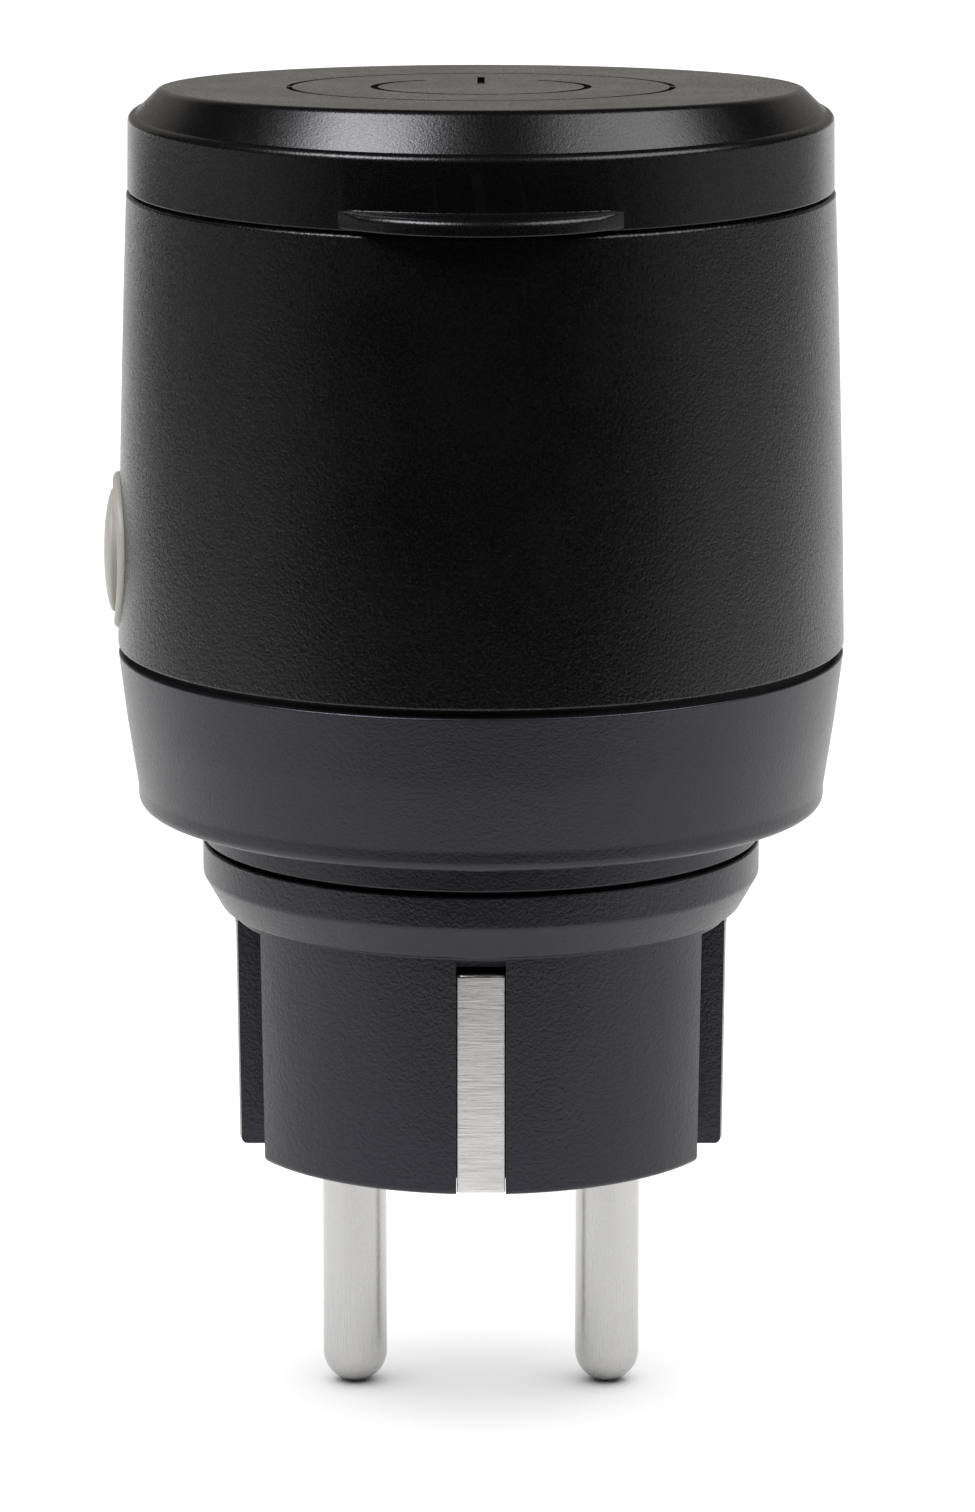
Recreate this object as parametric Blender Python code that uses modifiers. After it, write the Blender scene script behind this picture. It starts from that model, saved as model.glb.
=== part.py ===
"""Round outdoor smart plug with a hinged lid, built as separate pieces.

Sizes are in millimetres in the tables below and become metres in the helpers.
The origin is the centre of the plug face, where the two pins leave it.
+Z points at the lid, -X at the push button and -Y at the front earth strip.
"""

import math

import bmesh
import bpy
from mathutils import Matrix, Vector

MM = 0.001
GAP = 0.3                    # clearance between two pieces that touch on the real object
STEPS = 40                   # facets round the large turned shells
SHARP_ANGLE = math.radians(35)

# Plug
PIN_SPACING = 19.0
PIN_RADIUS = 2.4
PIN_LENGTH = 19.3
PLUG_RADIUS = 18.3
PLUG_FOOT_RADIUS = 18.15
PLUG_FLOOR = 3.0
CAVITY_RADIUS = 14.9
CAVITY_HALF_WIDTH = 12.9
RECESS_HALF_WIDTH = 8.6      # the side recesses of the plug, on +X and -X
RECESS_FLOOR = 14.5
FIN_HALF_WIDTH = 3.25
FIN_GROOVE_HALF_WIDTH = 2.2
FIN_GROOVE_FLOOR = 15.9
EARTH_GROOVE_HALF_WIDTH = 1.8
EARTH_GROOVE_TOP = 17.6
EARTH_STRIP_WIDTH = 3.5
STRIP_THICKNESS = 0.8
FLANGE_RADIUS = 20.7
FLANGE_TOP = 22.9

# Base
NECK_BOTTOM = 23.2
BASE_BOTTOM = 25.7
BASE_FLOOR_TOP = 27.5
BASE_FOOT_RADIUS = 25.45
BASE_RADIUS = 26.84
BASE_TOP = 37.2

# Barrel
BARREL_BOTTOM = 37.75
BARREL_TOP = 71.15
BARREL_FOOT_RADIUS = 26.87
BARREL_HEAD_RADIUS = 25.96

# Lid
LID_BOTTOM = 71.5
LID_RADIUS = 25.87
LID_SHOULDER = 77.05
LID_CENTRE_TOP = 78.8
LID_SLOPE = 0.0472           # the top face falls towards the hinge
LID_SKIN = 2.2
LIP_HALF_WIDTH = 10.0
LIP_REACH = 28.5
LIP_LOW = 71.65
LIP_HIGH = 72.85
HINGE_Y = 28.0
HINGE_Z = 71.9
KNUCKLE_RADIUS = 2.1

# Socket
SOCKET_FLOOR = 53.5
SOCKET_UNDERSIDE = 51.3
SOCKET_RADIUS = 19.75
SOCKET_RIM = 71.0
SOCKET_HOLE_RADIUS = 3.0
EARTH_CLIP_WIDTH = 4.0
CLIP_Y = 18.3
SHUTTER_LOW = 49.2
SHUTTER_HIGH = 50.9
SHUTTER_REACH = 13.2
SHUTTER_HALF_WIDTH = 3.4
CARRIER_BOTTOM = 31.6
CARRIER_TOP = 48.9
CARRIER_SCREW = 9.5

# Button
BUTTON_Z = 44.5
BEZEL_RADIUS = 5.8
BEZEL_FACE = 27.15
CAP_RADIUS = 4.6
CAP_CROWN = 27.85

# Board and screws
BOARD_LOW = 29.6
BOARD_HIGH = 31.2
BOARD_RADIUS = 22.0
BOARD_POST_X = 19.0
HOUSING_SCREW = 22.4 / math.sqrt(2)
PLUG_SCREW = 16.5 / math.sqrt(2)

CORNERS = ((1, 1), (-1, 1), (-1, -1), (1, -1))


def clear_scene():
    for obj in list(bpy.data.objects):
        bpy.data.objects.remove(obj, do_unlink=True)


def new_collection(name):
    group = bpy.data.collections.new(name)
    bpy.context.scene.collection.children.link(group)
    return group


def new_material(name, colour, metallic=0.0, roughness=0.5):
    material = bpy.data.materials.new(name)
    material.use_nodes = True
    shader = material.node_tree.nodes["Principled BSDF"]
    shader.inputs["Base Color"].default_value = (*colour, 1.0)
    shader.inputs["Metallic"].default_value = metallic
    shader.inputs["Roughness"].default_value = roughness
    material.diffuse_color = (*colour, 1.0)
    return material


clear_scene()
PIECES = new_collection("smart_plug")
HELPERS = new_collection("smart_plug_helpers")
HELPERS.hide_render = True

BLACK = new_material("black_plastic", (0.02, 0.02, 0.021), roughness=0.55)
CHARCOAL = new_material("charcoal_plastic", (0.045, 0.044, 0.046), roughness=0.5)
INNER = new_material("inner_plastic", (0.03, 0.03, 0.032), roughness=0.6)
WHITE = new_material("white_plastic", (0.7, 0.7, 0.68), roughness=0.5)
SILICONE = new_material("grey_silicone", (0.37, 0.37, 0.34), roughness=0.4)
SEAL = new_material("seal_rubber", (0.008, 0.008, 0.008), roughness=0.8)
NICKEL = new_material("nickel_plating", (0.72, 0.71, 0.69), 1.0, 0.28)
STEEL = new_material("spring_steel", (0.55, 0.55, 0.56), 1.0, 0.3)
BRASS = new_material("brass", (0.72, 0.5, 0.2), 1.0, 0.32)
LAMINATE = new_material("board_laminate", (0.02, 0.13, 0.06), roughness=0.45)
RELAY_CASE = new_material("relay_case", (0.03, 0.09, 0.3), roughness=0.4)
FERRITE = new_material("ferrite", (0.05, 0.05, 0.055), roughness=0.6)
CERAMIC = new_material("fuse_ceramic", (0.75, 0.72, 0.62), roughness=0.3)
VARISTOR_COAT = new_material("varistor_coat", (0.02, 0.12, 0.4), roughness=0.35)
SLEEVE = new_material("capacitor_sleeve", (0.02, 0.02, 0.08), roughness=0.3)
LED_LENS = new_material("led_lens", (0.85, 0.85, 0.8), roughness=0.2)


def keep(name, mesh_or_curve, material):
    """Link a new object: a piece when it has a material, a helper when it has none."""
    obj = bpy.data.objects.new(name, mesh_or_curve)
    if material:
        mesh_or_curve.materials.append(material)
        PIECES.objects.link(obj)
    else:
        obj.hide_render = True
        obj.display_type = "WIRE"
        HELPERS.objects.link(obj)
    return obj


def from_bmesh(name, bm, material):
    bmesh.ops.recalc_face_normals(bm, faces=bm.faces)
    mesh = bpy.data.meshes.new(name)
    bm.to_mesh(mesh)
    bm.free()
    mesh.shade_smooth()
    mesh.set_sharp_from_angle(angle=SHARP_ANGLE)
    return keep(name, mesh, material)


def box(name, low, high, material=None):
    """A block between two opposite corners."""
    low = Vector(low) * MM
    high = Vector(high) * MM
    bm = bmesh.new()
    place = Matrix.Translation((low + high) / 2) @ Matrix.Diagonal((*(high - low), 1.0))
    bmesh.ops.create_cube(bm, size=1.0, matrix=place)
    return from_bmesh(name, bm, material)


def rod(name, radius, start, end, material=None, segments=24, end_radius=None):
    """A round bar, or a cone, from one point to another."""
    start = Vector(start) * MM
    end = Vector(end) * MM
    along = end - start
    turn = Vector((0, 0, 1)).rotation_difference(along).to_matrix().to_4x4()
    bm = bmesh.new()
    bmesh.ops.create_cone(
        bm,
        cap_ends=True,
        segments=segments,
        radius1=radius * MM,
        radius2=(radius if end_radius is None else end_radius) * MM,
        depth=along.length,
        matrix=Matrix.Translation((start + end) / 2) @ turn,
    )
    return from_bmesh(name, bm, material)


def prism(name, outline, axis, low, high, material=None):
    """A flat outline extruded along X, Y or Z. The outline holds the other two coordinates."""
    places = {
        "X": lambda a, b, c: (c, a, b),
        "Y": lambda a, b, c: (a, c, b),
        "Z": lambda a, b, c: (a, b, c),
    }
    place = places[axis]
    bm = bmesh.new()
    flat = bm.faces.new([bm.verts.new(Vector(place(a, b, low)) * MM) for a, b in outline])
    made = bmesh.ops.extrude_face_region(bm, geom=[flat])["geom"]
    raised = [item for item in made if isinstance(item, bmesh.types.BMVert)]
    bmesh.ops.translate(bm, verts=raised, vec=Vector(place(0, 0, high - low)) * MM)
    return from_bmesh(name, bm, material)


def turned(name, profile, material=None, steps=STEPS, ring=False):
    """A profile of (radius, height) turned round Z. A ring's profile closes on itself."""
    mesh = bpy.data.meshes.new(name)
    points = [(radius * MM, 0.0, height * MM) for radius, height in profile]
    edges = [(i, i + 1) for i in range(len(points) - 1)]
    if ring:
        edges.append((len(points) - 1, 0))
    mesh.from_pydata(points, edges, [])
    obj = keep(name, mesh, material)
    screw = obj.modifiers.new("turn", "SCREW")
    screw.axis = "Z"
    screw.angle = math.tau
    screw.steps = steps
    screw.render_steps = steps
    screw.use_merge_vertices = True
    screw.merge_threshold = 0.00001
    return obj


def bent_strip(name, path, width, thickness, material):
    """Sheet metal bent along a path of (y, z) and centred on x = 0."""
    left = []
    right = []
    for i, point in enumerate(path):
        here = Vector(point)
        before = (here - Vector(path[i - 1])).normalized() if i else None
        after = (Vector(path[i + 1]) - here).normalized() if i + 1 < len(path) else None
        before = before or after
        after = after or before
        normal = Vector((-before.y - after.y, before.x + after.x)).normalized()
        reach = thickness / 2 / max(0.5, normal.dot(Vector((-before.y, before.x))))
        left.append(here + normal * reach)
        right.append(here - normal * reach)
    outline = [tuple(p) for p in left + right[::-1]]
    return prism(name, outline, "X", -width / 2, width / 2, material)


def wire(name, points, radius, material):
    """Round wire along a list of points."""
    curve = bpy.data.curves.new(name, "CURVE")
    curve.dimensions = "3D"
    curve.bevel_depth = radius * MM
    curve.bevel_resolution = 1
    curve.use_fill_caps = True
    spline = curve.splines.new("POLY")
    spline.points.add(len(points) - 1)
    for slot, point in zip(spline.points, points):
        slot.co = (*(Vector(point) * MM), 1.0)
    return keep(name, curve, material)


def combine(target, operation, tools):
    for tool in tools:
        step = target.modifiers.new(tool.name, "BOOLEAN")
        step.operation = operation
        step.solver = "EXACT"
        step.object = tool
    return target


def subtract(target, *tools):
    return combine(target, "DIFFERENCE", tools)


def unite(target, *tools):
    return combine(target, "UNION", tools)


def arc(centre, radius, start, end, count):
    """Points on a circle, with the angles in degrees."""
    angles = [math.radians(start + (end - start) * i / (count - 1)) for i in range(count)]
    return [(centre[0] + radius * math.cos(a), centre[1] + radius * math.sin(a)) for a in angles]


def clipped_disc(radius, half_width, count=11):
    """A disc cut off flat at x = half_width and x = -half_width."""
    edge = math.degrees(math.acos(half_width / radius))
    return arc((0, 0), radius, edge, 180 - edge, count) + arc((0, 0), radius, 180 + edge, 360 - edge, count)


def hang_on(axis_name, position, pieces):
    """Hang the pieces of one moving body on an empty that stands on its joint axis."""
    empty = bpy.data.objects.new(axis_name, None)
    empty.location = Vector(position) * MM
    empty.empty_display_size = 0.01
    PIECES.objects.link(empty)
    for piece in pieces:
        piece.parent = empty
        piece.matrix_parent_inverse = Matrix.Translation(-empty.location)


def screw_piece(name, x, y, head_low, head_high, head_radius, tip, radius, up=True):
    """A small screw. Its head is low and its tip high, or the other way round."""
    if up:
        profile = [(0, tip), (radius * 0.6, tip), (radius, tip - 0.6), (radius, head_high)]
        profile += [(head_radius, head_high), (head_radius, head_low + 0.2)]
        profile += [(head_radius - 0.3, head_low), (0.55, head_low), (0.0, head_low + 0.7)]
    else:
        profile = [(0, head_high - 0.7), (0.55, head_high), (head_radius - 0.3, head_high)]
        profile += [(head_radius, head_high - 0.2), (head_radius, head_low), (radius, head_low)]
        profile += [(radius, tip + 0.6), (radius * 0.6, tip), (0, tip)]
    piece = turned(name, profile, STEEL, steps=8)
    piece.location = (x * MM, y * MM, 0)
    return piece


# ---------------------------------------------------------------- plug
plug_body = turned(
    "plug_body",
    [
        (0, 25.4), (18.5, 25.4), (18.5, 22.2), (20.2, 22.2), (20.2, FLANGE_TOP),
        (20.5, FLANGE_TOP), (FLANGE_RADIUS, 22.7), (FLANGE_RADIUS, 20.55), (20.55, 20.3),
        (19.5, 18.3), (19.05, 18.05), (PLUG_RADIUS + 0.1, 17.9), (PLUG_RADIUS, 17.5),
        (PLUG_FOOT_RADIUS, 0.5), (PLUG_FOOT_RADIUS - 0.18, 0.13), (PLUG_FOOT_RADIUS - 0.55, 0),
        (0, 0),
    ],
    CHARCOAL,
)
subtract(
    plug_body,
    prism("plug_cavity", clipped_disc(CAVITY_RADIUS, CAVITY_HALF_WIDTH), "Z", PLUG_FLOOR, 26),
)
for side in (-1, 1):
    tag = "left" if side < 0 else "right"
    inner, outer = sorted((side * RECESS_FLOOR, side * 20.0))
    for flank in (-1, 1):
        low, high = sorted((flank * FIN_HALF_WIDTH, flank * RECESS_HALF_WIDTH))
        subtract(plug_body, box(f"recess_{tag}_{flank}", (inner, low, -1), (outer, high, 17.3)))
    inner, outer = sorted((side * FIN_GROOVE_FLOOR, side * 20.0))
    groove_half = FIN_GROOVE_HALF_WIDTH
    subtract(plug_body, box(f"fin_groove_{tag}", (inner, -groove_half, -1), (outer, groove_half, 16.6)))
    hole_x = side * PIN_SPACING / 2
    subtract(plug_body, rod(f"pin_hole_{tag}", PIN_RADIUS + 0.2, (hole_x, 0, -1), (hole_x, 0, 4)))
for side in (-1, 1):
    tag = "front" if side < 0 else "rear"
    half = EARTH_GROOVE_HALF_WIDTH
    for part_name, near, far, low, high in (
        ("groove", 16.8, 20.0, -1.0, EARTH_GROOVE_TOP),
        ("wrap", 13.2, 20.0, -1.0, 1.5),
        ("slot", 13.6, 17.2, 15.4, 16.8),
    ):
        start, end = sorted((side * near, side * far))
        subtract(plug_body, box(f"earth_{part_name}_{tag}", (-half, start, low), (half, end, high)))
for number, (sx, sy) in enumerate(CORNERS, 1):
    x, y = sx * PLUG_SCREW, sy * PLUG_SCREW
    subtract(plug_body, rod(f"plug_boss_hole_{number}", 1.0, (x, y, 15.5), (x, y, 26), segments=12))

for tag, side in (("live", -1), ("neutral", 1)):
    pin = turned(
        f"pin_{tag}",
        [
            (0, 19.5), (1.6, 19.5), (1.9, 19.2), (1.9, 5.0), (3.0, 5.0), (3.0, PLUG_FLOOR + GAP),
            (PIN_RADIUS, PLUG_FLOOR + GAP), (PIN_RADIUS, 2.3 - PIN_LENGTH),
            (2.26, 1.45 - PIN_LENGTH), (1.82, 0.7 - PIN_LENGTH), (1.08, 0.2 - PIN_LENGTH),
            (0, -PIN_LENGTH),
        ],
        NICKEL,
        steps=20,
    )
    pin.location = (side * PIN_SPACING / 2 * MM, 0, 0)

pin_clamp = prism(
    "pin_clamp",
    clipped_disc(CAVITY_RADIUS - GAP, CAVITY_HALF_WIDTH - GAP),
    "Z",
    5.0 + GAP,
    7.5,
    WHITE,
)
for side in (-1, 1):
    x = side * PIN_SPACING / 2
    subtract(pin_clamp, rod(f"clamp_hole_{side}", 2.15, (x, 0, 4), (x, 0, 9)))

for tag, side in (("live", -1), ("neutral", 1)):
    bends = ((12.4, 17.0), (5.4, 17.0), (5.4, 29.3), (6.2, 29.3), (6.2, 17.8), (12.4, 17.8))
    busbar = prism(f"busbar_{tag}", [(side * a, b) for a, b in bends], "Y", -2.6, 2.6, BRASS)
    x = side * PIN_SPACING / 2
    subtract(busbar, rod(f"busbar_hole_{tag}", 2.15, (x, 0, 16), (x, 0, 19)))

STRIP_PATH = ((13.9, 0.5), (17.45, 0.5), (17.45, 16.1), (13.4, 16.1), (13.4, 27.7))
CLIP_PATH = (
    (12.4, 28.4), (CLIP_Y, 28.4), (CLIP_Y, 57.5), (17.6, 60.5), (16.6, 63.6), (17.1, 65.2), (18.3, 67.6),
)
for tag, side in (("front", -1), ("rear", 1)):
    for name, path, width in (
        (f"earth_strip_{tag}", STRIP_PATH, EARTH_STRIP_WIDTH),
        (f"earth_clip_{tag}", CLIP_PATH, EARTH_CLIP_WIDTH),
    ):
        bent_strip(name, [(side * y, z) for y, z in path], width, STRIP_THICKNESS, NICKEL)
box("earth_link", (-1.75, -12.7, 24.2), (1.75, 12.7, 25.0), NICKEL)

# ---------------------------------------------------------------- base
base_housing = turned(
    "base_housing",
    [
        (24.2, 36.3), (26.45, 36.3), (26.45, BASE_TOP), (26.72, BASE_TOP), (BASE_RADIUS, 37.08),
        (BASE_RADIUS - 0.62, 32.2), (BASE_FOOT_RADIUS, 27.2), (25.22, 26.4), (24.7, 25.88),
        (23.95, BASE_BOTTOM), (21.0, BASE_BOTTOM), (FLANGE_RADIUS, 25.4), (FLANGE_RADIUS, 23.35),
        (20.55, NECK_BOTTOM), (20.2, NECK_BOTTOM), (20.2, 23.9), (18.8, 23.9), (18.8, BASE_BOTTOM),
        (14.6, BASE_BOTTOM), (14.6, BASE_FLOOR_TOP), (23.0, BASE_FLOOR_TOP), (23.5, 28.2),
    ],
    CHARCOAL,
    ring=True,
)
for number, (sx, sy) in enumerate(CORNERS, 1):
    x, y = sx * HOUSING_SCREW, sy * HOUSING_SCREW
    unite(base_housing, rod(f"base_boss_{number}", 2.0, (x, y, 27.0), (x, y, 36.3), segments=16))
for side in (-1, 1):
    x = side * BOARD_POST_X
    unite(base_housing, rod(f"board_post_{side}", 1.2, (x, 0, 27.0), (x, 0, 29.3), segments=12))
for number, (sx, sy) in enumerate(CORNERS, 1):
    x, y = sx * HOUSING_SCREW, sy * HOUSING_SCREW
    subtract(base_housing, rod(f"base_bore_{number}", 1.0, (x, y, 25), (x, y, 37), segments=12))
    subtract(base_housing, rod(f"base_counterbore_{number}", 1.6, (x, y, 25), (x, y, 28.0), segments=16))
    screw_piece(f"housing_screw_{number}", x, y, 26.1, 27.7, 1.35, 46.0, 0.8)
    x, y = sx * PLUG_SCREW, sy * PLUG_SCREW
    subtract(base_housing, rod(f"plug_screw_bore_{number}", 1.05, (x, y, 25), (x, y, 28), segments=12))
    screw_piece(f"plug_screw_{number}", x, y, 27.8, 29.2, 1.5, 16.5, 0.75, up=False)

turned("neck_gasket", [(18.9, 23.6), (20.0, 23.6), (20.0, 22.5), (18.9, 22.5)], SEAL, ring=True)
turned("body_gasket", [(25.4, 38.4), (26.15, 38.4), (26.15, 36.6), (25.4, 36.6)], SEAL, ring=True)

# ---------------------------------------------------------------- barrel
barrel_housing = turned(
    "barrel_housing",
    [
        (22.0, BARREL_TOP), (25.6, BARREL_TOP), (25.86, 71.03), (BARREL_HEAD_RADIUS, 70.75),
        (26.2, 64.5), (26.5, 54.5), (26.73, 45.5), (BARREL_FOOT_RADIUS, 37.95), (26.76, BARREL_BOTTOM),
        (26.45, BARREL_BOTTOM), (26.45, 38.7), (24.9, 38.7), (24.25, 58.0), (23.95, 69.2), (22.0, 69.2),
    ],
    BLACK,
    ring=True,
)
for number, (sx, sy) in enumerate(CORNERS, 1):
    x, y = sx * HOUSING_SCREW, sy * HOUSING_SCREW
    unite(barrel_housing, rod(f"barrel_boss_{number}", 2.4, (x, y, 36.6), (x, y, 50.2), segments=16))
for side in (-1, 1):
    start, end = sorted((side * 3.0, side * 5.2))
    web = [(24.7, 63.5), (30.02, 71.2), (30.08, 71.9), (27.9, 72.3), (25.95, 70.95), (24.7, 70.95)]
    unite(barrel_housing, prism(f"hinge_web_{side}", web, "X", start, end))
    unite(
        barrel_housing,
        rod(f"barrel_knuckle_{side}", KNUCKLE_RADIUS, (start, HINGE_Y, HINGE_Z), (end, HINGE_Y, HINGE_Z)),
    )
for number, (sx, sy) in enumerate(CORNERS, 1):
    x, y = sx * HOUSING_SCREW, sy * HOUSING_SCREW
    subtract(barrel_housing, rod(f"barrel_bore_{number}", 1.0, (x, y, 36), (x, y, 47), segments=12))
subtract(
    barrel_housing,
    rod("button_opening", BEZEL_RADIUS + 0.2, (-29, 0, BUTTON_Z), (-20, 0, BUTTON_Z), segments=32),
    rod("barrel_pin_bore", 1.05, (-6, HINGE_Y, HINGE_Z), (6, HINGE_Y, HINGE_Z), segments=16),
)

# ---------------------------------------------------------------- lid


def lid_top(y):
    return LID_CENTRE_TOP - LID_SLOPE * y


def lid_rings():
    """Rings from the middle of the top, over the edge and up inside to the ceiling.

    Each is (radius, height, share): share 1 follows the sloping top, share 0 is level.
    """
    rings = [(23.3, 0.0, 1.0), (23.62, -0.07, 1.0), (23.85, 0.1, 0.86)]
    rings += [(25.15, 0.0, 0.0), (25.38, -0.02, 0.0), (25.62, -0.16, 0.0), (25.72, -0.45, 0.0)]
    rings += [(LID_RADIUS, LID_BOTTOM + 0.2 - LID_SHOULDER, 0.0), (25.72, LID_BOTTOM - LID_SHOULDER, 0.0)]
    rings += [(23.9, LID_BOTTOM - LID_SHOULDER, 0.0), (23.9, 72.9 - LID_SHOULDER, 0.0)]
    rings += [(22.2, 72.9 - LID_SHOULDER, 0.0), (22.2, 73.7 - LID_SHOULDER, 0.0)]
    rings += [(23.5, 74.0 - LID_SHOULDER, 0.0), (23.4, 75.0 - LID_SHOULDER, 0.0), (22.7, -LID_SKIN, 1.0)]
    return rings


def lofted_lid(name, material):
    bm = bmesh.new()
    loops = []
    for radius, height, share in lid_rings():
        loop = []
        for step in range(STEPS):
            turn = math.tau * step / STEPS
            x, y = radius * math.cos(turn), radius * math.sin(turn)
            level = share * lid_top(y) + (1 - share) * LID_SHOULDER
            loop.append(bm.verts.new(Vector((x, y, level + height)) * MM))
        loops.append(loop)
    for upper, lower in zip(loops, loops[1:]):
        for i in range(STEPS):
            j = (i + 1) % STEPS
            bm.faces.new((upper[i], upper[j], lower[j], lower[i]))
    bm.faces.new(loops[0])
    bm.faces.new(loops[-1])
    return from_bmesh(name, bm, material)


lid = lofted_lid("lid", BLACK)
lip_sag = LIP_REACH - math.sqrt(LID_RADIUS**2 - LIP_HALF_WIDTH**2)
lip_radius = (LIP_HALF_WIDTH**2 + lip_sag**2) / (2 * lip_sag)
lip_spread = math.degrees(math.asin(LIP_HALF_WIDTH / lip_radius))
lip_outer = arc((0, lip_radius - LIP_REACH), lip_radius, 270 - lip_spread, 270 + lip_spread, 17)
lip_root = math.degrees(math.asin(LIP_HALF_WIDTH / LID_RADIUS))
lip_inner = arc((0, 0), 24.8, 270 + lip_root, 270 - lip_root, 7)
unite(lid, prism("lid_lip", lip_outer + lip_inner, "Z", LIP_LOW, LIP_HIGH))
for side in (-1, 1):
    start, end = sorted((side * 5.5, side * 9.0))
    arm = [(24.0, 71.75), (26.6, 71.75), (27.9, 71.9), (HINGE_Y, 73.98), (27.2, 74.0)]
    arm += [(25.1, 75.9), (24.0, 75.9)]
    unite(lid, prism(f"lid_arm_{side}", arm, "X", start, end))
    unite(
        lid,
        rod(f"lid_knuckle_{side}", KNUCKLE_RADIUS, (start, HINGE_Y, HINGE_Z), (end, HINGE_Y, HINGE_Z)),
    )
subtract(lid, rod("lid_pin_bore", 1.05, (-10, HINGE_Y, HINGE_Z), (10, HINGE_Y, HINGE_Z), segments=16))

lid_gasket = turned(
    "lid_gasket",
    [(22.5, 72.6), (23.55, 72.6), (23.55, 71.8), (23.2, 71.45), (22.85, 71.45), (22.5, 71.8)],
    SEAL,
    ring=True,
)
rod("hinge_pin", 0.75, (-8.8, HINGE_Y, HINGE_Z), (8.8, HINGE_Y, HINGE_Z), STEEL, segments=16)
coil = [(-2.3, HINGE_Y - 1.45, HINGE_Z - 3.2)]
for step in range(0, 61):
    turn = math.radians(180 + 30 * step)
    across = -2.3 + 4.6 * step / 60
    coil.append((across, HINGE_Y + 1.45 * math.cos(turn), HINGE_Z + 1.45 * math.sin(turn)))
coil.append((2.3, HINGE_Y - 1.45, HINGE_Z + 2.6))
wire("hinge_spring", coil, 0.2, STEEL)
hang_on("lid_axis", (0, HINGE_Y, HINGE_Z), [lid, lid_gasket])

# ---------------------------------------------------------------- socket
socket_insert = turned(
    "socket_insert",
    [
        (0, SOCKET_FLOOR), (SOCKET_RADIUS - 0.4, SOCKET_FLOOR), (SOCKET_RADIUS, SOCKET_FLOOR + 0.4),
        (SOCKET_RADIUS, SOCKET_RIM - 0.6), (SOCKET_RADIUS + 0.6, SOCKET_RIM), (21.5, SOCKET_RIM),
        (21.7, SOCKET_RIM - 0.2), (21.7, 68.9), (23.6, 68.9), (23.6, 66.9), (21.7, 66.9),
        (21.7, 52.6), (21.0, SOCKET_UNDERSIDE), (0, SOCKET_UNDERSIDE),
    ],
    INNER,
)
for side in (-1, 1):
    start, end = sorted((side * 16.6, side * 20.6))
    unite(socket_insert, box(f"guide_nose_{side}", (start, -1.8, 53.0), (end, 1.8, 69.6)))
    x = side * CARRIER_SCREW
    unite(socket_insert, rod(f"insert_boss_{side}", 1.9, (x, -x, 49.2), (x, -x, 52.0), segments=16))
for side in (-1, 1):
    x = side * PIN_SPACING / 2
    radius = SOCKET_HOLE_RADIUS
    start, end = sorted((side * (CLIP_Y - 0.8), side * (CLIP_Y + 0.8)))
    screw_x = side * CARRIER_SCREW
    subtract(
        socket_insert,
        rod(f"socket_hole_{side}", radius, (x, 0, 50), (x, 0, 55)),
        rod(f"socket_chamfer_{side}", radius - 0.1, (x, 0, 52.8), (x, 0, 53.8), end_radius=radius + 1.0),
        box(f"clip_slot_{side}", (-2.4, start, 50), (2.4, end, 55)),
        rod(f"insert_bore_{side}", 0.9, (screw_x, -screw_x, 48), (screw_x, -screw_x, 52.2), segments=12),
    )

bar_edge = math.degrees(math.asin(SHUTTER_HALF_WIDTH / SHUTTER_REACH))
bar_outline = arc((0, 0), SHUTTER_REACH, -bar_edge, bar_edge, 5)
bar_outline += arc((0, 0), SHUTTER_REACH, 180 - bar_edge, 180 + bar_edge, 5)
shutter = prism("shutter", bar_outline, "Z", SHUTTER_LOW, SHUTTER_HIGH, WHITE)
unite(shutter, rod("shutter_hub", 4.6, (0, 0, SHUTTER_LOW), (0, 0, SHUTTER_HIGH), segments=24))
for side in (-1, 1):
    start, end = sorted((side * 6.0, side * 14.0))
    ramp = [(-side * 3.6, 50.1), (-side * 3.6, 51.4), (side * 2.0, 51.4), (side * 1.2, 50.98)]
    subtract(shutter, prism(f"shutter_ramp_{side}", ramp, "X", start, end))
subtract(shutter, rod("shutter_bore", 1.6, (0, 0, 48), (0, 0, 52), segments=16))
hang_on("shutter_axis", (0, 0, SHUTTER_LOW), [shutter])

contact_carrier = prism(
    "contact_carrier",
    [
        (14.8, -4.6), (14.8, 4.6), (13.8, 5.6), (-13.8, 5.6),
        (-14.8, 4.6), (-14.8, -4.6), (-13.8, -5.6), (13.8, -5.6),
    ],
    "Z",
    CARRIER_BOTTOM,
    CARRIER_TOP - 1.0,
    WHITE,
)
unite(
    contact_carrier,
    rod("carrier_disc", 15.2, (0, 0, 46.6), (0, 0, CARRIER_TOP), segments=32),
    rod("carrier_post", 1.3, (0, 0, 47.0), (0, 0, SHUTTER_HIGH), segments=16),
)
for side in (-1, 1):
    x = side * PIN_SPACING / 2
    screw_x = side * CARRIER_SCREW
    subtract(
        contact_carrier,
        box(f"contact_chamber_{side}", (x - 3.1, -4.3, 33.0), (x + 3.1, 4.3, 50)),
        box(f"tail_slot_{side}", (x - 1.3, -0.7, 31), (x + 1.3, 0.7, 34)),
        rod(f"carrier_bore_{side}", 1.0, (screw_x, -screw_x, 46), (screw_x, -screw_x, 50), segments=12),
    )
    screw_piece(f"carrier_screw_{'a' if side < 0 else 'b'}", screw_x, -screw_x, 45.0, 46.3, 1.5, 51.6, 0.65)
subtract(
    contact_carrier,
    turned("spring_pocket", [(1.75, 50), (3.6, 50), (3.6, 47.0), (1.75, 47.0)], steps=24, ring=True),
)
twist = []
for step in range(0, 37):
    turn = math.radians(30 * step)
    twist.append((2.6 * math.cos(turn), 2.6 * math.sin(turn), 47.45 + 1.1 * step / 36))
wire("shutter_spring", twist, 0.14, STEEL)

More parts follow.
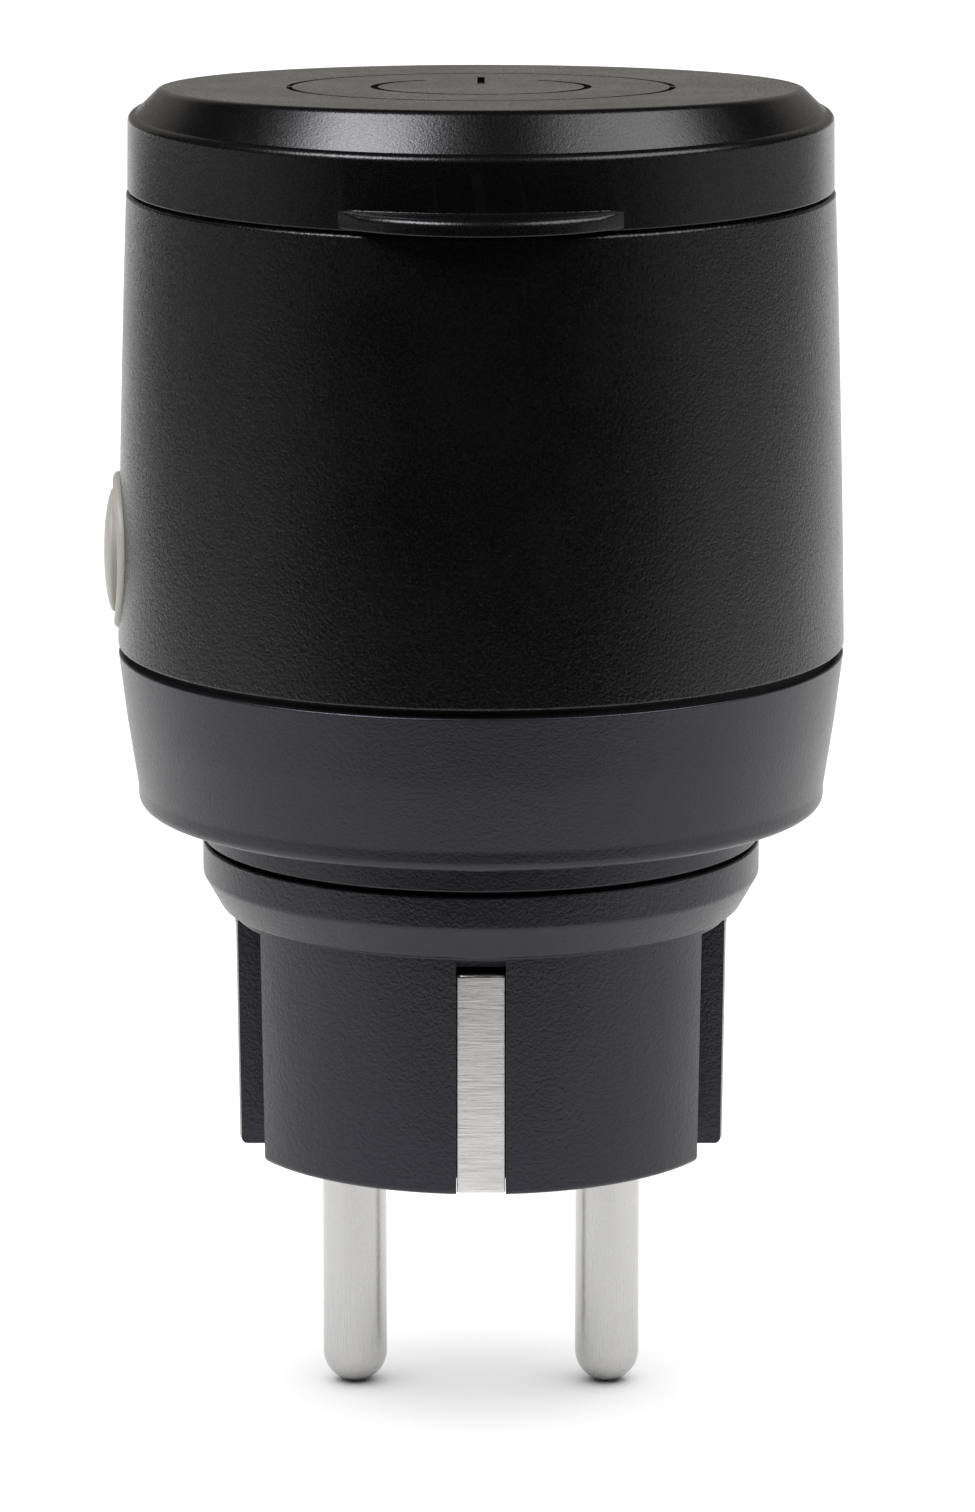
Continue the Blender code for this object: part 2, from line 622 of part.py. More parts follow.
CONTACT_PATH = (
    (-3.4, 48.2), (-2.75, 46.2), (-3.1, 43.0), (-3.5, 38.0), (-3.5, 33.7),
    (3.5, 33.7), (3.5, 38.0), (3.1, 43.0), (2.75, 46.2), (3.4, 48.2),
)
for tag, side in (("live", -1), ("neutral", 1)):
    x = side * PIN_SPACING / 2
    contact = bent_strip(f"contact_{tag}", CONTACT_PATH, 5.4, 0.7, BRASS)
    contact.location = (x * MM, 0, 0)
    unite(contact, box(f"contact_tail_{tag}", (x - 1.0, -0.35, 31.5), (x + 1.0, 0.35, 33.9)))

# ---------------------------------------------------------------- electronics
main_board = rod("main_board", BOARD_RADIUS, (0, 0, BOARD_LOW), (0, 0, BOARD_HIGH), LAMINATE, STEPS)
for number, (sx, sy) in enumerate(CORNERS, 1):
    x, y = sx * HOUSING_SCREW, sy * HOUSING_SCREW
    subtract(main_board, rod(f"board_notch_{number}", 2.7, (x, y, 29), (x, y, 32), segments=16))
for side in (-1, 1):
    start, end = sorted((side * (CLIP_Y - 0.8), side * (CLIP_Y + 0.8)))
    subtract(main_board, box(f"board_slot_{side}", (-2.4, start, 29), (2.4, end, 32)))

DECK = BOARD_HIGH + GAP
box("relay", (-6.7, 6.2, DECK), (11.7, 16.4, 45.5), RELAY_CASE)
rod("capacitor", 4.0, (9.0, -12.5, DECK), (9.0, -12.5, 43.5), SLEEVE, segments=20)
transformer = box("transformer", (-13.0, -14.5, DECK), (-3.5, -6.5, 41.5), FERRITE)
subtract(transformer, box("transformer_window", (-14, -12.9, 33.6), (-11.6, -8.1, 39.4)))
rod("choke", 3.2, (-18.3, 4.5, DECK), (-18.3, 4.5, 38.0), FERRITE, segments=16)
rod("fuse", 1.9, (18.5, -4.5, DECK + 2.0), (18.5, 4.5, DECK + 2.0), CERAMIC, segments=16)
rod("varistor", 3.8, (14.7, 9.3, DECK + 4.1), (17.7, 9.3, DECK + 4.1), VARISTOR_COAT, segments=20)
box("bridge_rectifier", (-20.0, -8.5, DECK), (-15.0, -3.5, 34.5), INNER)
box("radio_board", (-9.3, 6.5, DECK), (-8.5, 17.0, 44.5), LAMINATE)
box("radio_shield", (-11.9, 7.5, 34.0), (-9.6, 15.5, 42.0), STEEL)

box("switch_board", (-16.9, -8.0, 38.8), (-15.7, 8.0, 50.1), LAMINATE)
tact_switch = box("tact_switch", (-20.6, -3.0, 41.5), (-17.2, 3.0, 47.5), INNER)
subtract(tact_switch, rod("stem_hole", 1.9, (-22, 0, BUTTON_Z), (-18.9, 0, BUTTON_Z), segments=16))
box("status_led", (-18.1, 4.2, 43.9), (-17.2, 5.8, 45.1), LED_LENS)

button_bezel = rod("button_bezel", BEZEL_RADIUS, (-28, 0, BUTTON_Z), (-22.6, 0, BUTTON_Z), SILICONE, 32)
unite(button_bezel, rod("bezel_catch", 6.7, (-23.4, 0, BUTTON_Z), (-22.6, 0, BUTTON_Z), segments=32))
trim = turned("bezel_trim", [(0, 55), (BEZEL_FACE, 55), (BEZEL_FACE, 35), (0, 35)], steps=96)
combine(button_bezel, "INTERSECT", [trim])
subtract(
    button_bezel,
    rod("bezel_bore", CAP_RADIUS + 0.25, (-29, 0, BUTTON_Z), (-22, 0, BUTTON_Z), segments=32),
)
button_cap = turned(
    "button_cap",
    [
        (0, CAP_CROWN), (1.6, CAP_CROWN - 0.05), (3.0, CAP_CROWN - 0.18), (4.0, CAP_CROWN - 0.38),
        (4.45, CAP_CROWN - 0.62), (CAP_RADIUS, CAP_CROWN - 0.95), (CAP_RADIUS, 22.3), (5.6, 22.3),
        (5.6, 21.7), (3.4, 21.7), (3.4, 25.6), (1.4, 25.6), (1.4, 21.7), (0, 21.7),
    ],
    SILICONE,
    steps=24,
)
button_cap.location = (0, 0, BUTTON_Z * MM)
button_cap.rotation_euler = (0, -math.pi / 2, 0)
switch_stem = rod("switch_stem", 1.6, (-21.4, 0, BUTTON_Z), (-20.0, 0, BUTTON_Z), WHITE, segments=16)
hang_on("button_axis", (-CAP_CROWN, 0, BUTTON_Z), [button_cap, switch_stem])
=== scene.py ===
"""Looks for the round outdoor smart plug: fine meshes, materials, studio and camera.

Mesh code works in millimetres and turns into metres where a mesh is made.
Main sizes come from the CAD nodes' boxes, and the sections follow the CAD's own sections.
A turned section is a list of (radius, height, rounding) corners.
"""

import math

import bmesh
import bpy
from mathutils import Matrix, Vector


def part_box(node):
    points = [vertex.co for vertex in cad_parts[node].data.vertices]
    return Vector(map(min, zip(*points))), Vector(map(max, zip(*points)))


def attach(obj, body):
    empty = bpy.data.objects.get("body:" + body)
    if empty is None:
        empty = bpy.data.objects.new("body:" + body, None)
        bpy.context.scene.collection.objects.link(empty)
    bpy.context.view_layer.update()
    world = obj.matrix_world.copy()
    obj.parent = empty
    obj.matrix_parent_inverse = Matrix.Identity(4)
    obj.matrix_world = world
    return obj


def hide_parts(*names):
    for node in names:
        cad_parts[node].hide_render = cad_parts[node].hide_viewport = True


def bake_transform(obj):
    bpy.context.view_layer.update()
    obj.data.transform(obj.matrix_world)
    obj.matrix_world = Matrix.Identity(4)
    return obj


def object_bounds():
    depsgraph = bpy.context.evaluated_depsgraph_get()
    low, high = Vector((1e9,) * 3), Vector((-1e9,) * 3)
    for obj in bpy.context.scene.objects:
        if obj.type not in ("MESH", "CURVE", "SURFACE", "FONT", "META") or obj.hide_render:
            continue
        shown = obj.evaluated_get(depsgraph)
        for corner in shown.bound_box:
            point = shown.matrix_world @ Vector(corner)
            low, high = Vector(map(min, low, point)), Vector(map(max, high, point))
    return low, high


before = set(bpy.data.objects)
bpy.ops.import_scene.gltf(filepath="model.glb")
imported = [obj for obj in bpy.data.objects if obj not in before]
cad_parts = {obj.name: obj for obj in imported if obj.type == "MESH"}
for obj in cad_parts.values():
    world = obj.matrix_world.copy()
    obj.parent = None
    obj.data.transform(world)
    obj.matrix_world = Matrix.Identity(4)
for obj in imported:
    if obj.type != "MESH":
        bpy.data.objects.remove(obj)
cad_low, cad_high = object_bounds()

MM = 0.001
STEPS = 192                                         # facets round a large turned shell
SMALL_STEPS = 64                                    # facets round a pin or a bore
CORNERS = ((1, 1), (-1, 1), (-1, -1), (1, -1))      # signs of X and Y for four of a kind


def span(node):
    """A CAD node's lowest and highest corner, in millimetres."""
    low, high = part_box(node)
    return Vector(low) / MM, Vector(high) / MM


# ---------------------------------------------------------------- sizes from the frame
LID_LOW, LID_HIGH = span("lid")
PIN_LOW, PIN_HIGH = span("pin_neutral")
BEZEL_LOW, BEZEL_HIGH = span("button_bezel")
HINGE_PIN_LOW, HINGE_PIN_HIGH = span("hinge_pin")
SHUTTER_LOW, SHUTTER_HIGH = span("shutter")
CAP_FACE = -span("button_cap")[0].x
SOCKET_RIM = span("socket_insert")[1].z

HINGE_Y = (HINGE_PIN_LOW.y + HINGE_PIN_HIGH.y) / 2
HINGE_Z = (HINGE_PIN_LOW.z + HINGE_PIN_HIGH.z) / 2
KNUCKLE_RADIUS = LID_HIGH.y - HINGE_Y
LID_BOTTOM = HINGE_Z - 0.4
LID_RADIUS = LID_HIGH.x
LID_SLOPE = 0.0472                                  # fall of the lid's top per mm towards the hinge
LID_TOP_RADIUS = 23.3                               # where the CAD lid's sloped top ends
LID_CENTRE_TOP = LID_HIGH.z - LID_TOP_RADIUS * LID_SLOPE
LID_SHOULDER = LID_CENTRE_TOP - 1.75
LID_THICKNESS = 2.2
LIP_REACH = -LID_LOW.y
LIP_HALF_WIDTH = 10.0
LIP_LOW = LID_BOTTOM + 0.15
LIP_HIGH = LIP_LOW + 1.2
LID_KNUCKLES = (5.5, 9.0)                           # where each knuckle starts and ends along X
BARREL_KNUCKLES = (3.0, 5.2)
HINGE_BORE = 1.05

PIN_X = (PIN_LOW.x + PIN_HIGH.x) / 2
BUTTON_Z = (BEZEL_LOW.z + BEZEL_HIGH.z) / 2
BEZEL_FACE = -BEZEL_LOW.x
HOUSING_SCREW = 22.4 / math.sqrt(2)                 # X and Y of a housing screw
PLUG_SCREW = 16.5 / math.sqrt(2)                    # X and Y of a plug screw
CARRIER_SCREW = 9.5                                 # X and Y of a carrier screw
SCREW_BORE = 1.0
CLIP_Y = 18.3
SHEET = 0.8                                         # thickness of the earth metal


# ---------------------------------------------------------------- mesh tools
def arc(centre, radius, start, end, count):
    """Points on a circle, with the angles in degrees."""
    angles = [math.radians(start + (end - start) * i / (count - 1)) for i in range(count)]
    return [(centre[0] + radius * math.cos(a), centre[1] + radius * math.sin(a)) for a in angles]


def eased(corners, closed=False, count=4):
    """A path through (a, b, radius) corners with each corner rounded to its radius."""
    path = []
    last = len(corners) - 1
    for i, (a, b, radius) in enumerate(corners):
        here = Vector((a, b))
        if radius <= 0 or (not closed and i in (0, last)):
            path.append((a, b))
            continue
        back = Vector(corners[i - 1][:2]) - here
        on = Vector(corners[(i + 1) % len(corners)][:2]) - here
        half = back.angle(on) / 2
        rooms = [0.48 if corners[(i + step) % len(corners)][2] > 0 else 0.98 for step in (-1, 1)]
        reach = min(radius / math.tan(half), rooms[0] * back.length, rooms[1] * on.length)
        radius = reach * math.tan(half)
        centre = here + (back.normalized() + on.normalized()).normalized() * (radius / math.sin(half))
        first = here + back.normalized() * reach - centre
        final = here + on.normalized() * reach - centre
        start = math.atan2(first.y, first.x)
        sweep = (math.atan2(final.y, final.x) - start + math.pi) % math.tau - math.pi
        for k in range(count + 1):
            turn = start + sweep * k / count
            path.append((centre.x + radius * math.cos(turn), centre.y + radius * math.sin(turn)))
    return path


def add_loops(bm, loops, closed, capped=False):
    """Bridge rings of points. A ring of one point is a pole."""
    rings = [[bm.verts.new(Vector(p) * MM) for p in loop] for loop in loops]
    pairs = list(zip(rings, rings[1:]))
    if closed:
        pairs.append((rings[-1], rings[0]))
    for upper, lower in pairs:
        count = max(len(upper), len(lower))
        for i in range(count):
            j = (i + 1) % count
            if len(upper) == 1:
                bm.faces.new((upper[0], lower[j], lower[i]))
            elif len(lower) == 1:
                bm.faces.new((upper[i], upper[j], lower[0]))
            else:
                bm.faces.new((upper[i], upper[j], lower[j], lower[i]))
    if capped:
        bm.faces.new(rings[0])
        bm.faces.new(rings[-1])
    return bm


def add_turned(bm, profile, steps=STEPS, closed=False, centre=(0, 0), upright=True):
    """A (radius, height) profile turned round Z, or round -X for a piece on the button side."""
    loops = []
    for radius, height in profile:
        loop = []
        for step in range(steps if radius > 1e-6 else 1):
            turn = math.tau * step / steps
            a, b = radius * math.cos(turn), radius * math.sin(turn)
            loop.append((centre[0] + a, centre[1] + b, height) if upright else (-height, b, BUTTON_Z + a))
        loops.append(loop)
    return add_loops(bm, loops, closed)


def add_box(bm, low, high):
    low = Vector(low) * MM
    high = Vector(high) * MM
    place = Matrix.Translation((low + high) / 2) @ Matrix.Diagonal((*(high - low), 1.0))
    bmesh.ops.create_cube(bm, size=1.0, matrix=place)


def add_rod(bm, radius, start, end, segments=SMALL_STEPS):
    start = Vector(start) * MM
    end = Vector(end) * MM
    turn = Vector((0, 0, 1)).rotation_difference(end - start).to_matrix().to_4x4()
    bmesh.ops.create_cone(
        bm,
        cap_ends=True,
        segments=segments,
        radius1=radius * MM,
        radius2=radius * MM,
        depth=(end - start).length,
        matrix=Matrix.Translation((start + end) / 2) @ turn,
    )


def add_hinge_rod(bm, radius, start, end, segments=SMALL_STEPS):
    """A rod on the hinge's axis, from start to end along X."""
    add_rod(bm, radius, (start, HINGE_Y, HINGE_Z), (end, HINGE_Y, HINGE_Z), segments)


def add_four_rods(bm, radius, offset, low, high, segments):
    """An upright rod at each corner of a square, offset from the middle in X and Y."""
    for sx, sy in CORNERS:
        x, y = sx * offset, sy * offset
        add_rod(bm, radius, (x, y, low), (x, y, high), segments)


def add_prism(bm, outline, axis, low, high, lift=None):
    """A flat outline extruded along an axis. lift(x, y) raises a Z prism to follow a slope."""
    places = {
        "X": lambda a, b, c: (c, a, b),
        "Y": lambda a, b, c: (a, c, b),
        "Z": lambda a, b, c: (a, b, c + (lift(a, b) if lift else 0)),
    }
    place = places[axis]
    ends = [[bm.verts.new(Vector(place(a, b, c)) * MM) for a, b in outline] for c in (low, high)]
    bm.faces.new(ends[0])
    bm.faces.new(ends[1])
    for i in range(len(outline)):
        j = (i + 1) % len(outline)
        bm.faces.new((ends[0][i], ends[0][j], ends[1][j], ends[1][i]))


def mirrored(side, near, far):
    """The lower and the higher end of a stretch from near to far, on the side of the sign."""
    return sorted((side * near, side * far))


def strip_outline(path, thickness):
    """The outline of sheet metal of one thickness bent along a path of (y, z)."""
    left, right = [], []
    for i, point in enumerate(path):
        here = Vector(point)
        before = (here - Vector(path[i - 1])).normalized() if i else None
        after = (Vector(path[i + 1]) - here).normalized() if i + 1 < len(path) else None
        before = before or after
        after = after or before
        normal = Vector((-before.y - after.y, before.x + after.x)).normalized()
        reach = thickness / 2 / max(0.5, normal.dot(Vector((-before.y, before.x))))
        left.append(tuple(here + normal * reach))
        right.append(tuple(here - normal * reach))
    return left + right[::-1]


def make(name, bm):
    bmesh.ops.recalc_face_normals(bm, faces=bm.faces)
    mesh = bpy.data.meshes.new(name)
    bm.to_mesh(mesh)
    bm.free()
    obj = bpy.data.objects.new(name, mesh)
    bpy.context.scene.collection.objects.link(obj)
    return obj


def settle(obj):
    """Turn an object's modifiers into its mesh."""
    graph = bpy.context.evaluated_depsgraph_get()
    mesh = bpy.data.meshes.new_from_object(obj.evaluated_get(graph))
    old = obj.data
    obj.modifiers.clear()
    obj.data = mesh
    mesh.name = obj.name
    bpy.data.meshes.remove(old)
    return obj


def loose_parts(bm):
    """Each unconnected shape of a bmesh, as a bmesh of its own."""
    left = set(bm.verts)
    while left:
        found = {left.pop()}
        waiting = list(found)
        while waiting:
            vert = waiting.pop()
            fresh = {e.other_vert(vert) for e in vert.link_edges} - found
            found |= fresh
            waiting.extend(fresh)
        left -= found
        part = bmesh.new()
        copies = {vert: part.verts.new(vert.co) for vert in bm.verts if vert in found}
        for face in bm.faces:
            if face.verts[0] in found:
                part.faces.new([copies[vert] for vert in face.verts])
        yield part
    bm.free()


def combine(obj, bm, operation):
    """Join to an object, or cut from it, each closed shape of a bmesh in turn."""
    tools = [make("tool", part) for part in loose_parts(bm)]
    for tool in tools:
        step = obj.modifiers.new("combine", "BOOLEAN")
        step.operation = operation
        step.solver = "MANIFOLD"
        step.object = tool
    settle(obj)
    for tool in tools:
        bpy.data.objects.remove(tool)


def bevel(obj, width, segments=2, angle=38):
    """Round the edges that turn by more than the angle, in degrees."""
    step = obj.modifiers.new("edges", "BEVEL")
    step.width = width * MM
    step.segments = segments
    step.limit_method = "ANGLE"
    step.angle_limit = math.radians(angle)
    step.miter_outer = "MITER_ARC"
    step.harden_normals = False
    return settle(obj)


def polish(obj, angle=32):
    """Smooth shading that keeps flat faces flat and edges over the angle sharp."""
    obj.data.shade_smooth()
    obj.data.set_sharp_from_angle(angle=math.radians(angle))
    step = obj.modifiers.new("normals", "WEIGHTED_NORMAL")
    step.mode = "FACE_AREA_WITH_ANGLE"
    step.keep_sharp = True
    return settle(obj)


# ---------------------------------------------------------------- materials
class Shader:
    """A Principled material and short ways to add nodes to it."""

    def __init__(self, name, colour, roughness, metallic=0.0, **settings):
        self.material = bpy.data.materials.new(name)
        self.material.use_nodes = True
        self.tree = self.material.node_tree
        self.surface = self.tree.nodes["Principled BSDF"]
        self.put(self.surface, "Base Color", (*colour, 1.0))
        self.put(self.surface, "Roughness", roughness)
        self.put(self.surface, "Metallic", metallic)
        for socket, value in settings.items():
            self.put(self.surface, socket.replace("_", " "), value)
        self.coords = self.tree.nodes.new("ShaderNodeTexCoord").outputs["Object"]

    def put(self, node, socket, value):
        """Link a socket, or set a plain value."""
        if isinstance(value, bpy.types.NodeSocket):
            self.tree.links.new(value, node.inputs[socket])
        else:
            node.inputs[socket].default_value = value

    def stretch(self, x, y, z):
        """Object coordinates scaled along each axis."""
        node = self.tree.nodes.new("ShaderNodeMapping")
        self.put(node, "Vector", self.coords)
        self.put(node, "Scale", (x, y, z))
        return node.outputs["Vector"]

    def noise(self, size, detail=2.0, coarse=0.5, where=None):
        """Noise whose blobs are about size millimetres across."""
        node = self.tree.nodes.new("ShaderNodeTexNoise")
        self.put(node, "Vector", where or self.coords)
        self.put(node, "Scale", 1.0 / (size * MM))
        self.put(node, "Detail", detail)
        self.put(node, "Roughness", coarse)
        return node.outputs["Fac"]

    def cells(self, size, feature):
        """Distances in cells about size millimetres across."""
        node = self.tree.nodes.new("ShaderNodeTexVoronoi")
        node.feature = feature
        self.put(node, "Vector", self.coords)
        self.put(node, "Scale", 1.0 / (size * MM))
        return node.outputs["Distance"]

    def sums(self, operation, a, b, c=None):
        node = self.tree.nodes.new("ShaderNodeMath")
        node.operation = operation
        for i, value in enumerate((a, b) if c is None else (a, b, c)):
            if isinstance(value, bpy.types.NodeSocket):
                self.tree.links.new(value, node.inputs[i])
            else:
                node.inputs[i].default_value = value
        return node.outputs[0]

    def remap(self, value, from_low, from_high, to_low, to_high):
        node = self.tree.nodes.new("ShaderNodeMapRange")
        self.put(node, "Value", value)
        self.put(node, "From Min", from_low)
        self.put(node, "From Max", from_high)
        self.put(node, "To Min", to_low)
        self.put(node, "To Max", to_high)
        return node.outputs["Result"]

    def blend_colours(self, share, low, high):
        """The low colour where share is 0 and the high one where it is 1."""
        node = self.tree.nodes.new("ShaderNodeMix")
        node.data_type = "RGBA"
        self.put(node, "Factor", share)
        rgba_a, rgba_b, rgba_result = 6, 7, 2
        for index, value in ((rgba_a, low), (rgba_b, high)):
            if isinstance(value, bpy.types.NodeSocket):
                self.tree.links.new(value, node.inputs[index])
            else:
                node.inputs[index].default_value = (*value, 1.0)
        return node.outputs[rgba_result]

    def wear(self, share=1.0):
        """0 on flat faces and up to share along convex edges."""
        pointed = self.tree.nodes.new("ShaderNodeNewGeometry").outputs["Pointiness"]
        return self.remap(pointed, 0.505, 0.56, 0.0, share)

    def bump(self, height, depth, below=None):
        """Relief of depth millimetres."""
        node = self.tree.nodes.new("ShaderNodeBump")
        self.put(node, "Height", height)
        self.put(node, "Strength", 1.0)
        self.put(node, "Distance", depth * MM)
        if below:
            self.put(node, "Normal", below)
        return node.outputs["Normal"]


def scaled(colour, factor):
    return tuple(min(1.0, c * factor) for c in colour)


def moulded(name, colour, roughness, grain, depth, worn=0.5, **settings):
    """Moulded plastic with a spark-eroded grain of the given size and depth."""
    s = Shader(name, colour, roughness, **settings)
    pits = s.noise(grain, 2.0, 0.55)
    cells = s.cells(grain * 1.6, "SMOOTH_F1")
    relief = s.sums("MULTIPLY_ADD", cells, 0.55, pits)
    flow = s.noise(18.0, 3.0)
    fine = s.noise(grain * 0.45, 1.0)
    s.put(s.surface, "Normal", s.bump(relief, depth, s.bump(fine, depth * 0.25)))
    shade = s.blend_colours(flow, scaled(colour, 0.82), scaled(colour, 1.18))
    shade = s.blend_colours(s.wear(worn), shade, scaled(colour, 3.2))
    s.put(s.surface, "Base Color", shade)
    uneven = s.sums("MULTIPLY_ADD", s.noise(7.0, 4.0), 0.12, roughness - 0.06)
    pitted = s.remap(pits, 0.35, 0.65, -1, 1)
    s.put(s.surface, "Roughness", s.sums("MULTIPLY_ADD", pitted, 0.04, uneven))
    return s.material


def brushed(name, colour, roughness, across, depth, streaks=0.1):
    """Metal with fine brush lines. across holds how the line noise is stretched in X, Y and Z."""
    s = Shader(name, colour, roughness, 1.0)
    lines = s.noise(1.0, 4.0, 0.65, s.stretch(*across))
    cloud = s.noise(6.0, 3.0)
    s.put(s.surface, "Normal", s.bump(lines, depth, s.bump(s.noise(0.35, 2.0), depth * 0.5)))
    tone = s.blend_colours(cloud, scaled(colour, 0.9), scaled(colour, 1.08))
    streak = s.remap(lines, 0.3, 0.62, streaks, 0.0)
    s.put(s.surface, "Base Color", s.blend_colours(streak, tone, scaled(colour, 0.35)))
    matte = s.sums("MULTIPLY", lines, cloud)
    s.put(s.surface, "Roughness", s.sums("MULTIPLY_ADD", matte, 0.35, roughness - 0.08))
    return s.material


def rubbery(name, colour, roughness, grain, depth, **settings):
    """Soft matt skin with a fine grain and slightly cloudy colour."""
    s = Shader(name, colour, roughness, **settings)
    skin = s.noise(grain, 3.0, 0.6)
    s.put(s.surface, "Normal", s.bump(skin, depth))
    cloudy = s.blend_colours(s.noise(3.0, 3.0), scaled(colour, 0.9), scaled(colour, 1.08))
    s.put(s.surface, "Base Color", cloudy)
    s.put(s.surface, "Roughness", s.sums("MULTIPLY_ADD", skin, 0.16, roughness - 0.08))
    return s.material


def laminate(name):
    """Green solder mask with faint copper tracks under it."""
    s = Shader(name, (0.02, 0.12, 0.06), 0.35, Coat_Weight=0.3)
    tracks = s.cells(2.4, "DISTANCE_TO_EDGE")
    edge = s.remap(tracks, 0.04, 0.09, 0.0, 1.0)
    weave = s.noise(0.5, 2.0, 0.5, s.stretch(1.0, 3.0, 1.0))
    s.put(s.surface, "Base Color", s.blend_colours(edge, (0.05, 0.26, 0.12), (0.012, 0.1, 0.045)))
    s.put(s.surface, "Normal", s.bump(edge, 0.03, s.bump(weave, 0.01)))
    return s.material


def dipped(name, colour, roughness):
    """Glossy coated or cased component with slight orange peel."""
    s = Shader(name, colour, roughness, Coat_Weight=0.25, Coat_Roughness=0.15)
    peel = s.noise(0.8, 2.0)
    s.put(s.surface, "Normal", s.bump(peel, 0.015))
    tone = s.blend_colours(s.noise(4.0, 3.0), scaled(colour, 0.85), scaled(colour, 1.15))
    s.put(s.surface, "Base Color", s.blend_colours(s.wear(0.3), tone, scaled(colour, 1.8)))
    s.put(s.surface, "Roughness", s.sums("MULTIPLY_ADD", peel, 0.15, roughness - 0.07))
    return s.material


BLACK = (0.0012, 0.0012, 0.0014)
CHARCOAL = (0.0035, 0.0033, 0.0042)
NICKEL = (0.69, 0.682, 0.668)
GLOSS_BLACK = {"Specular_IOR_Level": 0.38}
COOL_CHARCOAL = {"Specular_IOR_Level": 0.47, "Specular_Tint": (0.93, 0.89, 1.0, 1.0)}

BARREL_SKIN = moulded("barrel_plastic", BLACK, 0.27, 0.17, 0.032, **GLOSS_BLACK)
LID_SKIN = moulded("lid_plastic", BLACK, 0.27, 0.13, 0.010, **GLOSS_BLACK)
BASE_SKIN = moulded("base_plastic", CHARCOAL, 0.33, 0.17, 0.02, **COOL_CHARCOAL)
PLUG_SKIN = moulded("plug_plastic", CHARCOAL, 0.33, 0.2, 0.03, **COOL_CHARCOAL)
SOCKET_SKIN = moulded("socket_plastic", (0.012, 0.012, 0.013), 0.48, 0.26, 0.012)
WHITE_PLASTIC = moulded("white_plastic", (0.62, 0.61, 0.57), 0.45, 0.4, 0.008, worn=0.1)
DARK_PLASTIC = moulded("component_plastic", (0.02, 0.02, 0.022), 0.5, 0.3, 0.01)
# Painted shade: the pins' nickel is darkened to 0.76 of the nickel used by the strips and clips, standing
# in for the shade the pins sit in under the plug.
PIN_METAL_PAINTED_SHADE = brushed("pin_nickel_painted_shade", scaled(NICKEL, 0.76), 0.27, (6.0, 6.0, 0.35), 0.0016)
STRIP_METAL = brushed("strip_nickel", scaled(NICKEL, 1.02), 0.30, (0.35, 0.35, 8.0), 0.009, 0.45)
CLIP_METAL = brushed("clip_nickel", NICKEL, 0.26, (0.6, 3.0, 5.0), 0.002)
STEEL = brushed("zinc_steel", (0.52, 0.53, 0.55), 0.3, (3.0, 3.0, 3.0), 0.002)
BRASS = brushed("brass_strip", (0.7, 0.48, 0.2), 0.3, (0.8, 5.0, 1.2), 0.002)
SILICONE = rubbery(
    "grey_silicone", (0.345, 0.332, 0.298), 0.48, 0.5, 0.004,
    Subsurface_Weight=0.3, Subsurface_Scale=0.001, Subsurface_Radius=(1.0, 0.9, 0.8),
)
SEAL = rubbery("seal_rubber", (0.006, 0.006, 0.0065), 0.7, 0.4, 0.01)
LAMINATE = laminate("board_laminate")
RELAY_BLUE = dipped("relay_case", (0.02, 0.06, 0.22), 0.35)
FERRITE = moulded("ferrite", (0.03, 0.03, 0.034), 0.55, 0.25, 0.02)
CERAMIC = dipped("fuse_ceramic", (0.7, 0.66, 0.56), 0.25)
VARISTOR_BLUE = dipped("varistor_coat", (0.015, 0.09, 0.32), 0.3)
SLEEVE = dipped("capacitor_sleeve", (0.012, 0.012, 0.05), 0.28)
LENS = dipped("led_lens", (0.8, 0.8, 0.74), 0.15)


def finish_piece(obj, body, node, material):
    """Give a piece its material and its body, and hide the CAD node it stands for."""
    obj.data.materials.clear()
    obj.data.materials.append(material)
    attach(obj, body)
    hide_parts(node)


# ---------------------------------------------------------------- lid
def lid_top(y):
    """The height of the lid's sloped top."""
    return LID_CENTRE_TOP - LID_SLOPE * y


def lid_profile(y_of):
    """The lid's section at one bearing. y_of(radius) is the point's Y there."""
    def top(radius, below=0.0):
        return lid_top(y_of(radius)) - below

    crown, edge, skirt, seat, inside = 14.0, 23.5, 23.9, 22.2, 22.7
    seal_top = LID_BOTTOM + 1.4
    return eased([
        (0, lid_top(0), 0), (crown, top(crown), 0), (edge, top(edge), 0.7),
        (25.2, LID_SHOULDER, 0), (25.8, LID_SHOULDER, 0.58),
        (LID_RADIUS, LID_BOTTOM, 0.14), (skirt, LID_BOTTOM, 0.1), (skirt, seal_top, 0.1),
        (seat, seal_top, 0.12), (seat, LID_BOTTOM + 2.2, 0.12), (edge, LID_BOTTOM + 2.5, 0.2),
        (23.35, LID_BOTTOM + 3.7, 0.2), (inside, top(inside, LID_THICKNESS), 0.4),
        (0, lid_top(0) - LID_THICKNESS, 0),
    ])


def sloped_loops():
    """The lid's rings, built bearing by bearing because its top slopes."""
    sections = []
    for step in range(STEPS):
        turn = math.tau * step / STEPS
        section = lid_profile(lambda radius, turn=turn: radius * math.sin(turn))
        sections.append([(r * math.cos(turn), r * math.sin(turn), z) for r, z in section])
    loops = []
    for k in range(len(sections[0])):
        ring = [section[k] for section in sections]
        loops.append(ring[:1] if k in (0, len(sections[0]) - 1) else ring)
    return loops


